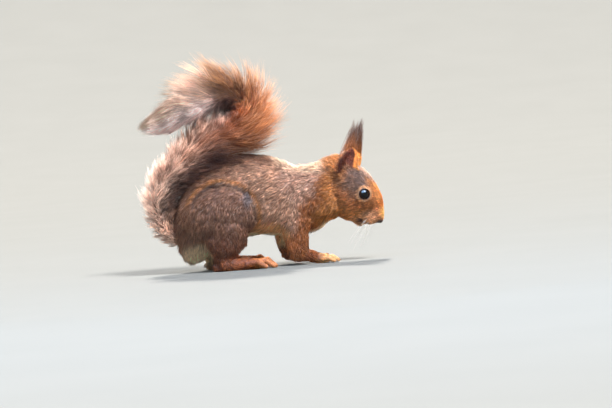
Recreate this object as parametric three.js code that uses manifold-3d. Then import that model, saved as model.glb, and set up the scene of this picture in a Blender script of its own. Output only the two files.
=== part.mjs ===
// A red squirrel crouching on all fours, its tail folded in an S over its back, as a life-size still model.
// Millimetres. +X is forward, +Y is the animal's left, +Z is up. The floor is Z = 0, and the origin lies on
// it under the middle of the animal. Every outline runs out to the tips of the coat.
import * as THREE from "three";
import { mergeVertices } from "three/addons/utils/BufferGeometryUtils.js";
import Module from "manifold-3d";

const wasm = await Module();
wasm.setup();

// ---------------------------------------------------------------- driving dimensions
const GAP = 0.35; // clearance left between neighbouring pieces
const RIGHT = -1; // the animal's right side lies at negative Y
const LEFT = 1;
const SIDES = [["right", RIGHT], ["left", LEFT]];

const HEAD_START = [68.5, 72.1]; // X and Z of the head axis, inside the nape
const HEAD_TILT = -51.2; // degrees the face points below the horizon
const HEAD_TURN = 7; // degrees the face is turned to the animal's right
const HEAD_PIVOT = 66; // X of the upright axis it turns about
const EYE_AT = [88.2, 13.3, 55.9];
const EYE_RADIUS = 5.3;
const NOSE_AT = [99.2, 0, 32.1];
const NOSE_RADII = [3.2, 3.0, 2.5];
const EAR_AT = [76.4, 12.4]; // X and Y of the middle of an ear's root
const EAR_TURN = 38; // degrees the opening of an ear is turned forward
const EAR_LEAN = { right: 0, left: 4 }; // how far the tip of each tuft leans forward

const THIGH_OUT = 21; // Y of the middle of the thigh
const HEEL = -45.5;
const HIND_FOOT_LENGTH = 42; // heel to the roots of the toes
const WRIST = 42;
const FORE_FOOT_OUT = 11;
const LEFT_HIND_BACK = 7; // how far the left limbs are set behind the right ones
const LEFT_ELBOW_BACK = 8;
const LEFT_PAW_BACK = 5;
const FACET = 0.12; // detail finer than this is left out of a cut piece
const SOLE_DEPTH = 1.2; // how far a foot is made below the floor before its sole is cut flat

// ---------------------------------------------------------------- materials
const material = (color, roughness, metalness = 0) =>
  new THREE.MeshStandardMaterial({ color, roughness, metalness });
const COAT_BROWN = material("#8a6450", 0.85);
const COAT_RUFOUS = material("#a4592c", 0.85);
const COAT_TAIL = material("#9c6242", 0.85);
const EAR_SKIN = material("#7d4a38", 0.8);
const EYE_GLOSS = material("#120d0c", 0.08);
const NOSE_SKIN = material("#4a2f28", 0.5);
const CLAW_HORN = material("#3a2b24", 0.35);

// ---------------------------------------------------------------- solids
const ACROSS = new THREE.Vector3(0, 1, 0);

// A triangle mesh, as a solid.
function solid(points, triangles) {
  const geometry = new THREE.BufferGeometry();
  geometry.setAttribute("position", new THREE.Float32BufferAttribute(points, 3));
  geometry.setIndex(triangles);
  const merged = mergeVertices(geometry, 1e-4);
  return new wasm.Manifold(
    new wasm.Mesh({
      numProp: 3,
      vertProperties: new Float32Array(merged.attributes.position.array),
      triVerts: new Uint32Array(merged.index.array),
    }),
  );
}

// A body of oval rings strung along a smooth spine. A station is [[x, y, z], above, below, beside]: its
// middle, and how far the ring reaches to each side of it. "Above" is the side that +Z is on where the
// spine runs forward. from and to are station numbers, so that one spine can be made in lengths, and grow
// widens every ring.
function loft(stations, { rings, sides, from = 0, to = stations.length - 1, grow = 0, fullness = 2 }) {
  const spine = new THREE.CatmullRomCurve3(stations.map(([at]) => new THREE.Vector3(...at)));
  const reach = new THREE.CatmullRomCurve3(
    stations.map(([, above, below, beside]) => new THREE.Vector3(above, below, beside)),
  );
  const points = [];
  const triangles = [];
  const spans = stations.length - 1;
  for (let r = 0; r <= rings; r++) {
    const t = (from + ((to - from) * r) / rings) / spans;
    const middle = spine.getPoint(t);
    const along = spine.getTangent(t);
    if (r === 0) middle.addScaledVector(along, -grow);
    if (r === rings) middle.addScaledVector(along, grow);
    const beside = ACROSS.clone().addScaledVector(along, -ACROSS.dot(along)).normalize();
    const above = new THREE.Vector3().crossVectors(along, beside);
    const size = reach.getPoint(t).addScalar(grow);
    size.set(Math.max(size.x, 0.25), Math.max(size.y, 0.25), Math.max(size.z, 0.25));
    for (let s = 0; s < sides; s++) {
      const turn = (2 * Math.PI * s) / sides;
      const rise = Math.sign(Math.sin(turn)) * Math.abs(Math.sin(turn)) ** (2 / fullness);
      const out = Math.sign(Math.cos(turn)) * Math.abs(Math.cos(turn)) ** (2 / fullness);
      const p = middle.clone();
      p.addScaledVector(above, rise * (rise > 0 ? size.x : size.y));
      p.addScaledVector(beside, out * size.z);
      points.push(...p);
    }
  }
  const ringAt = (r, s) => r * sides + (s % sides);
  for (let r = 0; r < rings; r++)
    for (let s = 0; s < sides; s++) {
      const [a, b, c, d] = [ringAt(r, s), ringAt(r, s + 1), ringAt(r + 1, s + 1), ringAt(r + 1, s)];
      triangles.push(a, c, b, a, d, c);
    }
  for (let s = 1; s < sides - 1; s++) {
    triangles.push(ringAt(0, 0), ringAt(0, s), ringAt(0, s + 1));
    triangles.push(ringAt(rings, 0), ringAt(rings, s + 1), ringAt(rings, s));
  }
  const made = solid(points, triangles);
  return made.volume() < 0 ? solid(points, triangles.reverse()) : made;
}

function ellipsoid(at, radii, { pitch = 0, columns = 16, rows = 10, grow = 0 } = {}) {
  const sphere = new THREE.SphereGeometry(1, columns, rows);
  const grown = radii.map((radius) => radius + grow);
  sphere.applyMatrix4(
    new THREE.Matrix4().compose(
      new THREE.Vector3(...at),
      new THREE.Quaternion().setFromAxisAngle(ACROSS, THREE.MathUtils.degToRad(pitch)),
      new THREE.Vector3(...grown),
    ),
  );
  return solid(sphere.attributes.position.array, [...sphere.index.array]);
}

// Everything above the floor, as a block to cut a sole flat with.
const ABOVE_FLOOR = (() => {
  const block = new THREE.BoxGeometry(400, 400, 400).translate(0, 0, 200);
  return solid(block.attributes.position.array, [...block.index.array]);
})();

// ---------------------------------------------------------------- head, neck and trunk
// The spine of the body, from under the rump, up over the loins and forward to the throat.
const BODY = [
  [[-57, 0, 7.6], 2.5, 2.5, 2.5],
  [[-57.5, 0, 10], 9.5, 9.5, 9],
  [[-58, 0, 16], 15, 15, 15.5],
  [[-57, 0, 25], 19.5, 19.5, 21],
  [[-51, 0, 41.5], 28, 30, 27],
  [[-37, 0, 53.5], 34, 33, 30],
  [[-18, 0, 59], 38.5, 34, 30],
  [[2, 0, 58], 37.5, 31.5, 28.5],
  [[20, 0, 55], 33, 30.5, 26.5],
  [[36, 0, 55.5], 28.8, 29, 23.6],
  [[50, 0, 59.5], 26, 26.6, 20.6],
  [[60.5, 0, 63.4], 24.8, 26.6, 18],
  [[69, 0, 65.6], 24.4, 25, 15.5],
];
const NECK_FROM = 9.3; // station where the neck parts from the trunk
const BODY_SPACING = 13; // distance between two stations at the neck

// Distance along the face, then reach to the forehead side, the jaw side and each cheek.
const HEAD = [
  [-9, 6, 9, 8],
  [-5, 13, 16, 14],
  [2, 18.4, 21.5, 18],
  [10, 20.4, 24, 19.4],
  [18, 19.8, 25, 18.8],
  [26, 17.8, 24, 15.8],
  [33, 16, 21.4, 13],
  [39, 13.2, 17.8, 10.4],
  [44, 9.6, 13.6, 8.6],
  [48.4, 5.8, 8.8, 6.6],
  [51, 3, 4.8, 4],
  [52.6, 0.8, 1.2, 1],
];

// A point of the head: t along the face, h towards the forehead and y across.
const faceAngle = THREE.MathUtils.degToRad(HEAD_TILT);
const onFace = (t, h, y) => [
  HEAD_START[0] + t * Math.cos(faceAngle) - h * Math.sin(faceAngle),
  y,
  HEAD_START[1] + t * Math.sin(faceAngle) + h * Math.cos(faceAngle),
];
const headStations = HEAD.map(([t, up, down, side]) => [onFace(t, 0, 0), up, down, side]);

const headShape = (grow = 0) => loft(headStations, { rings: 15, sides: 18, grow, fullness: 2.3 });
const bodyLength = (from, to, grow = 0) =>
  loft(BODY, { rings: Math.round((to - from) * 1.7), sides: 16, from, to, grow, fullness: 2.15 });

// The head and all it carries, turned to the side.
const turnHead = (made) =>
  made.translate([-HEAD_PIVOT, 0, 0]).rotate([0, 0, -HEAD_TURN]).translate([HEAD_PIVOT, 0, 0]);

// ---------------------------------------------------------------- ears
// A blade that ends in a tuft, and the hollow in its outer face. Both are written facing straight out.
const blade = (side, lean) => [
  [[75.0, side * 9.8, 66], 8, 8, 4.2],
  [[75.8, side * 11.4, 74.5], 10.2, 10.2, 4.2],
  [[76.6 + lean * 0.1, side * 12.4, 81.5], 10.4, 10.4, 3.6],
  [[78.8 + lean * 0.3, side * 13.2, 89], 8.8, 8.8, 3.1],
  [[80.8 + lean * 0.5, side * 13.6, 95], 6.2, 6.2, 2.7],
  [[82.4 + lean * 0.7, side * 13.8, 102], 4.2, 4.4, 2.3],
  [[83.6 + lean * 0.9, side * 13.9, 110], 2.6, 2.8, 1.6],
  [[84.4 + lean, side * 14, 118.5], 0.5, 0.5, 0.5],
];
const hollow = (side, lean) => [
  [[75.4, side * 14.2, 74], 2.5, 2.5, 1],
  [[76.0, side * 15.2, 77.5], 6, 6, 2.6],
  [[76.8 + lean * 0.1, side * 15.8, 83], 7.6, 7.4, 2.6],
  [[78.6 + lean * 0.3, side * 16, 89], 6, 5.8, 2.3],
  [[80.2 + lean * 0.5, side * 16, 94], 1.8, 1.8, 1],
];
function earShape(side, lean) {
  const [x, y] = EAR_AT;
  const upright = loft(blade(side, lean), { rings: 9, sides: 12 }).subtract(
    loft(hollow(side, lean), { rings: 5, sides: 10 }),
  );
  return upright
    .translate([-x, -side * y, 0])
    .rotate([0, 0, -side * EAR_TURN])
    .translate([x, side * y, 0]);
}

// ---------------------------------------------------------------- tail
// Root to tip. "Above" is the outer side up to the bend, and the inner side past it.
const TAIL = [
  [[-64, 0, 27], 7, 7, 8],
  [[-79, 0, 34], 11, 8, 11],
  [[-87.4, 0, 49.2], 13.5, 9, 14],
  [[-86, 0, 67], 17, 9.5, 17.5],
  [[-76.5, 0, 84.5], 15.5, 12.5, 20],
  [[-60.5, 0, 98.2], 17, 15, 23],
  [[-41.7, 0, 108.7], 18, 17, 26],
  [[-23.9, 0, 118.7], 13, 27, 28],
  [[-13.4, 0, 129], 8.5, 40, 29],
  [[-13.4, 0, 139.5], 7, 38, 29],
  [[-24.4, 0, 145.1], 7.5, 37, 28],
  [[-41.7, 0, 142.3], 9.5, 38, 26],
  [[-59.2, 0, 135.9], 11.5, 34, 22],
  [[-76.9, 0, 127.9], 10.5, 24, 16],
  [[-90.5, 0, 124.1], 5, 8, 6],
  [[-96, 0, 123.1], 0.8, 1, 1],
];
const TAIL_LENGTHS = [
  ["tail_root", 0, 3],
  ["tail_rise", 3, 7],
  ["tail_bend", 7, 11],
  ["tail_tip", 11, 15],
];
const TAIL_SPACING = 18; // mean distance between two stations of the tail

function tailLength(from, to) {
  const inset = GAP / 2 / TAIL_SPACING;
  const start = from === 0 ? 0 : from + inset;
  const end = to === TAIL.length - 1 ? to : to - inset;
  return loft(TAIL, { rings: Math.round((to - from) * 2.5), sides: 12, from: start, to: end, fullness: 2.1 });
}

// ---------------------------------------------------------------- limbs
// Each limb is written for the right side's place along X and mirrored across Y.
const back = (side, amount) => (side === LEFT ? -amount : 0);

const thigh = (side) => {
  const x = back(side, LEFT_HIND_BACK);
  const y = side * THIGH_OUT;
  return [
    [[-69 + x, y, 44.5], 3, 3, 2.5],
    [[-64 + x, y, 46], 13, 13, 8],
    [[-54 + x, y, 47.5], 22, 21, 13],
    [[-42 + x, y, 48.5], 26, 25, 15],
    [[-29 + x, y, 48.5], 26.5, 26, 15.5],
    [[-17 + x, y + side, 46.5], 23, 22, 14],
    [[-9 + x, y + side * 2, 44], 15, 14, 10.5],
    [[-4.6 + x, y + side * 2, 42.5], 4, 4, 3.5],
  ];
};

const shank = (side) => {
  const x = back(side, LEFT_HIND_BACK);
  const y = side * (THIGH_OUT + 1.5);
  return [
    [[-29 + x, y, 41], 10, 10, 8],
    [[-31 + x, y, 31], 21, 23, 12.5],
    [[-34.5 + x, y, 21], 17, 19, 11],
    [[-35.5 + x, y, 13.5], 11.8, 12, 8.4],
    [[-37 + x, y, 8], 9, 9, 6.6],
    [[-38 + x, y, 4], 4.5, 4.5, 3.6],
  ];
};

const metatarsus = (side) => {
  const heel = HEEL + back(side, LEFT_HIND_BACK);
  const y = side * (THIGH_OUT + 1.5);
  const at = (share, out, z) => [heel + share * HIND_FOOT_LENGTH, y + side * out, z];
  return [
    [at(0, 0, 4.6), 1.5, 1.5, 1.5],
    [at(0.06, 0, 4.8), 4.6, 4.8, 4.2],
    [at(0.3, 0.6, 5.2), 5, 5.2, 4.8],
    [at(0.58, 1.5, 4.8), 4, 4.8, 5.2],
    [at(0.82, 2.4, 4.7), 3.8, 4.7, 6.6],
    [at(0.96, 2.8, 4.6), 3.6, 4.6, 6.2],
    [at(1, 3, 4.4), 1.5, 1.5, 3],
  ];
};

const upperArm = (side) => {
  const x = (share) => back(side, LEFT_ELBOW_BACK * share);
  return [
    [[36 + x(0), side * 10, 62], 3, 3, 2],
    [[34.5 + x(0.1), side * 13.5, 55], 11, 11, 7.6],
    [[31.5 + x(0.4), side * 15, 44.5], 13.5, 14.5, 9.2],
    [[28.5 + x(0.7), side * 16, 34.5], 13, 13.5, 9.2],
    [[26.5 + x(1), side * 16.5, 24.5], 12.8, 12.6, 8.6],
    [[26.5 + x(1), side * 16.5, 15.5], 11.4, 9.6, 7.4],
    [[27.5 + x(1), side * 16.5, 8.5], 7.5, 6.5, 5.2],
    [[28 + x(1), side * 16.5, 4.8], 2.5, 2.5, 2.5],
  ];
};

const forearm = (side) => {
  const x = (share) => back(side, LEFT_ELBOW_BACK + share * (LEFT_PAW_BACK - LEFT_ELBOW_BACK));
  return [
    [[20.5 + x(0), side * 16.5, 10], 3, 3, 3],
    [[25 + x(0.2), side * 16.2, 9.8], 7.4, 6.4, 6.2],
    [[31.5 + x(0.5), side * 14.4, 8.8], 6.4, 5.6, 5.6],
    [[37.5 + x(0.8), side * 12.6, 7.4], 5, 4.8, 4.6],
    [[WRIST + x(1), side * 11.4, 6], 3.9, 3.9, 3.9],
    [[WRIST + 2.5 + x(1), side * 11, 5.4], 1.4, 1.4, 1.4],
  ];
};

const palm = (side) => {
  const x = WRIST + back(side, LEFT_PAW_BACK);
  const y = side * FORE_FOOT_OUT;
  return [
    [[x - 1.5, y, 6], 1.5, 1.5, 1.5],
    [[x, y, 5.6], 3.6, 4.2, 3.8],
    [[x + 4, y, 4.8], 3.6, 4.8, 4.6],
    [[x + 8, y, 4.6], 3.4, 4.6, 5.2],
    [[x + 10.5, y, 4.2], 2, 3, 4],
    [[x + 11.5, y, 4], 0.8, 0.8, 1.5],
  ];
};

// A digit: where its root is, where it points, how long and thick it is, and how high its knuckle arches.
function digitStations({ root, heading, length, thick, knuckle }) {
  const [x, y, z] = root;
  const turn = THREE.MathUtils.degToRad(heading);
  const at = (share, height) => {
    const reach = share * length;
    return [x + reach * Math.cos(turn), y + reach * Math.sin(turn), height];
  };
  return [
    [at(-0.3, z), thick * 0.6, thick * 0.6, thick * 0.6],
    [at(0, z), thick, thick, thick],
    [at(0.35, knuckle), thick * 1.02, thick, thick],
    [at(0.7, (knuckle + thick) / 2), thick * 0.92, thick * 0.92, thick * 0.92],
    [at(0.95, thick * 1.02), thick * 0.88, thick * 1.3, thick * 0.9],
    [at(1.06, thick * 1.0), thick * 0.3, thick * 0.3, thick * 0.3],
  ];
}

// A claw: a curved, tapering horn ahead of a digit's tip, that ends clear of the floor.
function clawStations({ root, heading, length, thick }, claw) {
  const [x, y] = root;
  const turn = THREE.MathUtils.degToRad(heading);
  const at = (share, height) => {
    const reach = length * 1.08 + GAP + share * claw.length;
    return [x + reach * Math.cos(turn), y + reach * Math.sin(turn), height];
  };
  const high = thick * 1.2;
  return [
    [at(0, high), claw.thick, claw.thick, claw.thick * 0.8],
    [at(0.5, high - 0.1), claw.thick * 0.8, claw.thick * 0.9, claw.thick * 0.65],
    [at(1, high * 0.42 + 0.2), 0.25, 0.25, 0.25],
  ];
}

// How far each root lies forward and outward, then the digit's heading outward, length and knuckle height.
const HIND_DIGITS = [
  [-3.8, 5.6, 15, 7.8, 5.6],
  [-0.4, 3.2, 8, 10.6, 7],
  [0.4, 0.4, 3, 11, 7.2],
  [-0.2, -2.4, -2, 10.6, 7],
  [-5.0, -4.9, -9, 7.6, 5.4],
];
const FORE_DIGITS = [
  [-1.2, 3.9, 22, 7.2, 5],
  [0.2, 1.4, 8, 8.6, 6],
  [0.3, -1.3, -5, 8.6, 6],
  [-1.0, -3.7, -19, 7.4, 5],
];
const HIND_CLAW = { length: 3.4, thick: 0.95 };
const FORE_CLAW = { length: 2.8, thick: 0.8 };

const hindDigits = (side) =>
  HIND_DIGITS.map(([forward, outward, heading, length, knuckle]) => ({
    root: [
      HEEL + back(side, LEFT_HIND_BACK) + HIND_FOOT_LENGTH - 1.5 + forward,
      side * (THIGH_OUT + 4.4 + outward),
      4.6,
    ],
    heading: side * (heading + 3),
    length,
    thick: 2.25,
    knuckle,
  }));

const foreDigits = (side) =>
  FORE_DIGITS.map(([forward, outward, heading, length, knuckle]) => ({
    root: [WRIST + 9 + back(side, LEFT_PAW_BACK) + forward, side * (FORE_FOOT_OUT + outward), 4.2],
    heading: side * heading,
    length,
    thick: 1.75,
    knuckle,
  }));

// A foot is its sole and its digits, set a little into the floor and then cut off level with it.
function foot(sole, digits) {
  const sink = ([at, above, below, beside]) => [at, above, below + SOLE_DEPTH, beside];
  let made = loft(sole.map(sink), { rings: 6, sides: 9 });
  for (const digit of digits) made = made.add(loft(digitStations(digit), { rings: 4, sides: 6 }));
  return made.intersect(ABOVE_FLOOR);
}

// ---------------------------------------------------------------- assembly
const squirrel = new THREE.Group();

function place(name, made, look) {
  const { vertProperties, triVerts, numProp } = made.getMesh();
  const positions = new Float32Array((vertProperties.length / numProp) * 3);
  for (let i = 0; i < positions.length / 3; i++)
    positions.set(vertProperties.subarray(i * numProp, i * numProp + 3), i * 3);
  const geometry = new THREE.BufferGeometry();
  geometry.setAttribute("position", new THREE.BufferAttribute(positions, 3));
  geometry.setIndex(new THREE.BufferAttribute(triVerts, 1));
  geometry.computeVertexNormals();
  const mesh = new THREE.Mesh(geometry, look);
  mesh.name = name;
  squirrel.add(mesh);
}

const limbPart = (stations, grow = 0) => loft(stations, { rings: 7, sides: 10, grow, fullness: 2.1 });
const hindLeg = (side, grow = 0) => limbPart(thigh(side), grow).add(limbPart(shank(side), grow));
const foreLeg = (side, grow = 0) => limbPart(upperArm(side), grow).add(limbPart(forearm(side), grow));
const noseShape = (grow = 0) =>
  ellipsoid(NOSE_AT, NOSE_RADII, { pitch: -HEAD_TILT, columns: 10, rows: 6, grow });
const eyeShape = (side, grow = 0) =>
  ellipsoid([EYE_AT[0], side * EYE_AT[1], EYE_AT[2]], [EYE_RADIUS, EYE_RADIUS, EYE_RADIUS], {
    columns: 12,
    rows: 7,
    grow,
  });

// What is left of a solid once others are cut from it. Cuts can leave slivers, so the largest piece is kept.
const cut = (made, ...cutters) =>
  cutters
    .reduce((left, cutter) => left.subtract(cutter), made)
    .decompose()
    .reduce((most, next) => (next.volume() > most.volume() ? next : most))
    .simplify(FACET);

const limbs = SIDES.flatMap(([, side]) => [hindLeg(side, GAP), foreLeg(side, GAP)]);
const skull = turnHead(headShape(GAP));
place("trunk", cut(bodyLength(0, NECK_FROM), ...limbs), COAT_BROWN);
const neckStart = NECK_FROM + GAP / BODY_SPACING;
place("neck", cut(bodyLength(neckStart, BODY.length - 1), skull, ...limbs), COAT_BROWN);

let head = headShape().subtract(noseShape(GAP));
for (const [name, side] of SIDES) {
  head = head.subtract(eyeShape(side, GAP));
  place(`eye_${name}`, turnHead(eyeShape(side)), EYE_GLOSS);
}
place("head", cut(turnHead(head)), COAT_RUFOUS);
place("nose", turnHead(noseShape()), NOSE_SKIN);

const nape = bodyLength(NECK_FROM - 1, BODY.length - 1, GAP);
for (const [name, side] of SIDES)
  place(`ear_${name}`, cut(turnHead(earShape(side, EAR_LEAN[name])), skull, nape), EAR_SKIN);

const rump = bodyLength(0, NECK_FROM, GAP);
for (const [name, from, to] of TAIL_LENGTHS)
  place(name, cut(tailLength(from, to), rump, ...limbs), COAT_TAIL);

for (const [name, side] of SIDES) {
  place(`hind_leg_${name}`, cut(hindLeg(side).intersect(ABOVE_FLOOR)), COAT_BROWN);
  place(`fore_leg_${name}`, cut(foreLeg(side).intersect(ABOVE_FLOOR), skull), COAT_RUFOUS);

  const feet = [
    ["hind", hindLeg(side, GAP), metatarsus(side), hindDigits(side), HIND_CLAW],
    ["fore", foreLeg(side, GAP), palm(side), foreDigits(side), FORE_CLAW],
  ];
  for (const [which, leg, sole, digits, claw] of feet) {
    place(`${which}_foot_${name}`, cut(foot(sole, digits), leg), COAT_RUFOUS);
    digits.forEach((digit, i) => {
      const horn = loft(clawStations(digit, claw), { rings: 3, sides: 5 });
      place(`claw_${which}_${name}_${i + 1}`, horn, CLAW_HORN);
    });
  }
}

export default squirrel;
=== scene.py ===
import math

import bpy
import numpy as np
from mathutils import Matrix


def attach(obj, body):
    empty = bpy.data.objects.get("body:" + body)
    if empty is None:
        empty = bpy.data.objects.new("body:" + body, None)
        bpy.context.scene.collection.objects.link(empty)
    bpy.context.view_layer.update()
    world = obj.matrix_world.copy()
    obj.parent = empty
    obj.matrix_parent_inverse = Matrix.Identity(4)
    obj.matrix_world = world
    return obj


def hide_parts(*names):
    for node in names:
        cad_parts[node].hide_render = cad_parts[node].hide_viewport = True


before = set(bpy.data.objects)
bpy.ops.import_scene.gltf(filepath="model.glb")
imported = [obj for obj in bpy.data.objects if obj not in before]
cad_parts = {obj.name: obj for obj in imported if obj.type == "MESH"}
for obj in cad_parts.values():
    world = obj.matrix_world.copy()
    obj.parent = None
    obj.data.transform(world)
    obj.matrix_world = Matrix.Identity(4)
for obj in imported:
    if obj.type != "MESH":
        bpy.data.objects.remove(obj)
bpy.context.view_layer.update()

import openvdb
from mathutils import Matrix, Vector, kdtree

MM = 0.001
SIDES = {"right": -1, "left": 1}
rng = np.random.default_rng(21)

# ---------------------------------------------------------------- driving sizes, as in the solids
HEAD_START = (68.5, 72.1)  # X and Z of the start of the face's axis
HEAD_TILT = math.radians(-51.2)
HEAD_TURN = math.radians(7)  # the face is turned this far to the animal's right
HEAD_PIVOT = 66
EYE_ON_FACE = (25, 5.2, 13.3)  # along the face, towards the forehead, and across
EYE_RADIUS = 5.2
EAR_AT = (76.4, 12.4)
EAR_TURN = math.radians(38)  # how far an ear's opening is turned forward
EAR_LEAN = {"right": 0, "left": 4}  # how far forward an ear leans by the top of its brush
EAR_LEAN_FROM = 75
EAR_BRUSH_HEIGHT = 43
EAR_TIP_Z = 94

# An ear, station by station: height, how far its middle lies forward and outward, and half its width.
EAR = np.array(
    [
        (66, 0.4, -3.0, 3.0),
        (71, -0.2, -2.2, 6.8),
        (76, -1.0, -1.0, 9.3),
        (81.5, -0.6, 0.0, 9.8),
        (86, 0.6, 0.6, 8.8),
        (90, 2.0, 1.0, 6.6),
        (94, 3.4, 1.2, 2.6),
    ]
)
EAR_CUP = (66, 76, 87, EAR_TIP_Z), (5.5, 5.0, 3.2, 0.8)  # heights, and how deep its cup is there
EAR_RIM_OUT = 1.6  # how far its rims stand outside its middle

# The tail's bone line, root to tip: X, Z, and how far the coat reaches above, below and beside it.
TAIL = np.array(
    [
        (-64, 27, 7, 7, 8),
        (-79, 34, 11, 8, 11),
        (-87.4, 49.2, 13.5, 9, 14),
        (-86, 67, 17, 9.5, 17.5),
        (-76.5, 84.5, 15.5, 12.5, 20),
        (-60.5, 98.2, 17, 15, 23),
        (-41.7, 108.7, 18, 17, 26),
        (-23.9, 118.7, 13, 27, 28),
        (-13.4, 129, 8.5, 40, 29),
        (-13.4, 139.5, 7, 38, 29),
        (-24.4, 145.1, 7.5, 37, 28),
        (-41.7, 142.3, 9.5, 38, 26),
        (-59.2, 135.9, 11.5, 34, 22),
        (-76.9, 127.9, 10.5, 24, 16),
        (-90.5, 124.1, 5, 8, 6),
        (-96, 123.1, 0.8, 1, 1),
    ]
)
TAIL_ROOT_RADIUS = 7.0  # flesh and bone, under the coat
TAIL_TIP_RADIUS = 1.6

# How deep the skin lies under the coat's tips.
BODY_DEPTH = 2.5
SHIN_DEPTH = 1.2
CROWN_DEPTH = 1.9
FACE_DEPTH = 0.5
FOOT_DEPTH = 0.2


# ---------------------------------------------------------------- small mathematics
def smoothstep(x, low, high):
    s = np.clip((x - low) / (high - low), 0, 1)
    return s * s * (3 - 2 * s)


def mix(a, b, share):
    return a + (b - a) * share


def about(x, middle, reach, full):
    """One where x is within full of the middle, falling to nothing at reach."""
    return smoothstep(-np.abs(x - middle), -reach, -full)


def smooth_union(a, b, width):
    """The nearer of two distance fields, with the crease between them filled over this width."""
    h = np.clip(0.5 + 0.5 * (b - a) / width, 0, 1)
    return mix(b, a, h) - width * h * (1 - h)


def smooth_common(a, b, width):
    """What two fields share, with its edge rounded."""
    return -smooth_union(-a, -b, width)


def smooth_cut(a, b, width):
    """Field a with what is inside field b taken away."""
    return -smooth_union(-a, b, width)


def unit(v):
    return v / np.maximum(np.linalg.norm(v, axis=-1, keepdims=True), 1e-9)


def turned(x, y, angle):
    c, s = math.cos(angle), math.sin(angle)
    return x * c - y * s, x * s + y * c


def straight_head(x, y):
    """X and Y of a point of the head, as they would be if it looked straight on."""
    dx, across = turned(x - HEAD_PIVOT, y, HEAD_TURN)
    return dx + HEAD_PIVOT, across


def face_axes(x, y, z):
    """Place of a point on the head: along the face, towards the forehead, and across."""
    x, across = straight_head(x, y)
    along, up = turned(x - HEAD_START[0], z - HEAD_START[1], -HEAD_TILT)
    return along, up, across


def on_face(along, up, across):
    """A point given on the face's axes, in the frame's."""
    dx, dz = turned(along, up, HEAD_TILT)
    x, y = turned(dx + HEAD_START[0] - HEAD_PIVOT, across, -HEAD_TURN)
    return np.array([x + HEAD_PIVOT, y, dz + HEAD_START[1]])


def face_direction(along, up, across):
    return unit(on_face(along, up, across) - on_face(0, 0, 0))


def ear_lean(z, side):
    return EAR_LEAN[side] * np.clip((z - EAR_LEAN_FROM) / EAR_BRUSH_HEIGHT, 0, 1)


def ear_axes(x, y, z, side):
    """Place of a point by an ear that faces straight out: forward and outward from the ear's middle."""
    x, y = straight_head(x, y)
    lean = ear_lean(z, side)
    sign = SIDES[side]
    forward, out = turned(x - EAR_AT[0] - lean, y - sign * EAR_AT[1], sign * EAR_TURN)
    return forward, sign * out


def ear_sheet(forward, z):
    """Place across an ear, -1 at its back rim and 1 at its front, and how far out its middle sheet lies."""
    middle, outward, half = (np.interp(z, EAR[:, 0], EAR[:, i]) for i in (1, 2, 3))
    across = (forward - middle) / half
    cup = np.interp(z, *EAR_CUP)
    return across, outward + EAR_RIM_OUT - cup * (1 - np.clip(across, -1, 1) ** 2)


def by_ear(forward, out, z, side):
    """The point with these places on an ear's axes."""
    sign = SIDES[side]
    lean = ear_lean(z, side)
    x, y = turned(forward, sign * out, -sign * EAR_TURN)
    x, y = turned(x + EAR_AT[0] + lean - HEAD_PIVOT, y + sign * EAR_AT[1], -HEAD_TURN)
    return np.stack([x + HEAD_PIVOT, y, z], -1)


def ball(x, y, z, radius):
    return np.sqrt(x**2 + y**2 + z**2) - radius


def ellipsoid(x, y, z, radii):
    """Signed distance, near enough, from an ellipsoid at the origin."""
    inner = np.sqrt((x / radii[0]) ** 2 + (y / radii[1]) ** 2 + (z / radii[2]) ** 2)
    slope = np.sqrt((x / radii[0] ** 2) ** 2 + (y / radii[1] ** 2) ** 2 + (z / radii[2] ** 2) ** 2)
    return inner * (inner - 1) / np.maximum(slope, 1e-6)


def rod(x, y, z, start, end, radius, end_radius=None):
    """Signed distance from a round-ended rod, which may taper."""
    axis = np.subtract(end, start).astype(float)
    px, py, pz = x - start[0], y - start[1], z - start[2]
    share = np.clip((px * axis[0] + py * axis[1] + pz * axis[2]) / axis.dot(axis), 0, 1)
    away = np.sqrt((px - share * axis[0]) ** 2 + (py - share * axis[1]) ** 2 + (pz - share * axis[2]) ** 2)
    return away - mix(radius, radius if end_radius is None else end_radius, share)


def catmull_rom(rows, at):
    """A smooth curve through rows, at row numbers that may be fractions."""
    i = np.minimum(at.astype(int), len(rows) - 2)
    f = (at - i)[:, None]
    a, b = rows[i], rows[i + 1]
    before, after = rows[np.maximum(i - 1, 0)], rows[np.minimum(i + 2, len(rows) - 1)]
    steady, first = 2 * a, b - before
    second, third = 2 * before - 5 * a + 4 * b - after, 3 * a - before - 3 * b + after
    return (steady + first * f + second * f**2 + third * f**3) / 2


# The tail's bone line in small steps, with its directions: along it, above it and beside it.
TAIL_STEPS = 16
TAIL_ROWS = catmull_rom(TAIL, np.linspace(0, len(TAIL) - 1, (len(TAIL) - 1) * TAIL_STEPS + 1))
TAIL_LINE = np.stack([TAIL_ROWS[:, 0], np.zeros(len(TAIL_ROWS)), TAIL_ROWS[:, 1]], 1)
TAIL_ALONG = unit(np.gradient(TAIL_LINE, axis=0))
TAIL_BESIDE = np.array([0.0, 1.0, 0.0])
TAIL_ABOVE = np.cross(TAIL_ALONG, TAIL_BESIDE)
TAIL_RUN = np.concatenate([[0], np.cumsum(np.linalg.norm(np.diff(TAIL_LINE, axis=0), axis=1))])
TAIL_LENGTH = TAIL_RUN[-1]
TAIL_FLESH_END = 13 * TAIL_STEPS  # past here the tail is hair alone
TAIL_RADIUS = mix(TAIL_ROOT_RADIUS, TAIL_TIP_RADIUS, (TAIL_RUN / TAIL_LENGTH) ** 0.7)

# ---------------------------------------------------------------- fields of distance on a grid
VOXEL = 0.5
LOW = np.array([-104, -38, -2])
HIGH = np.array([108, 38, 152])


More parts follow.
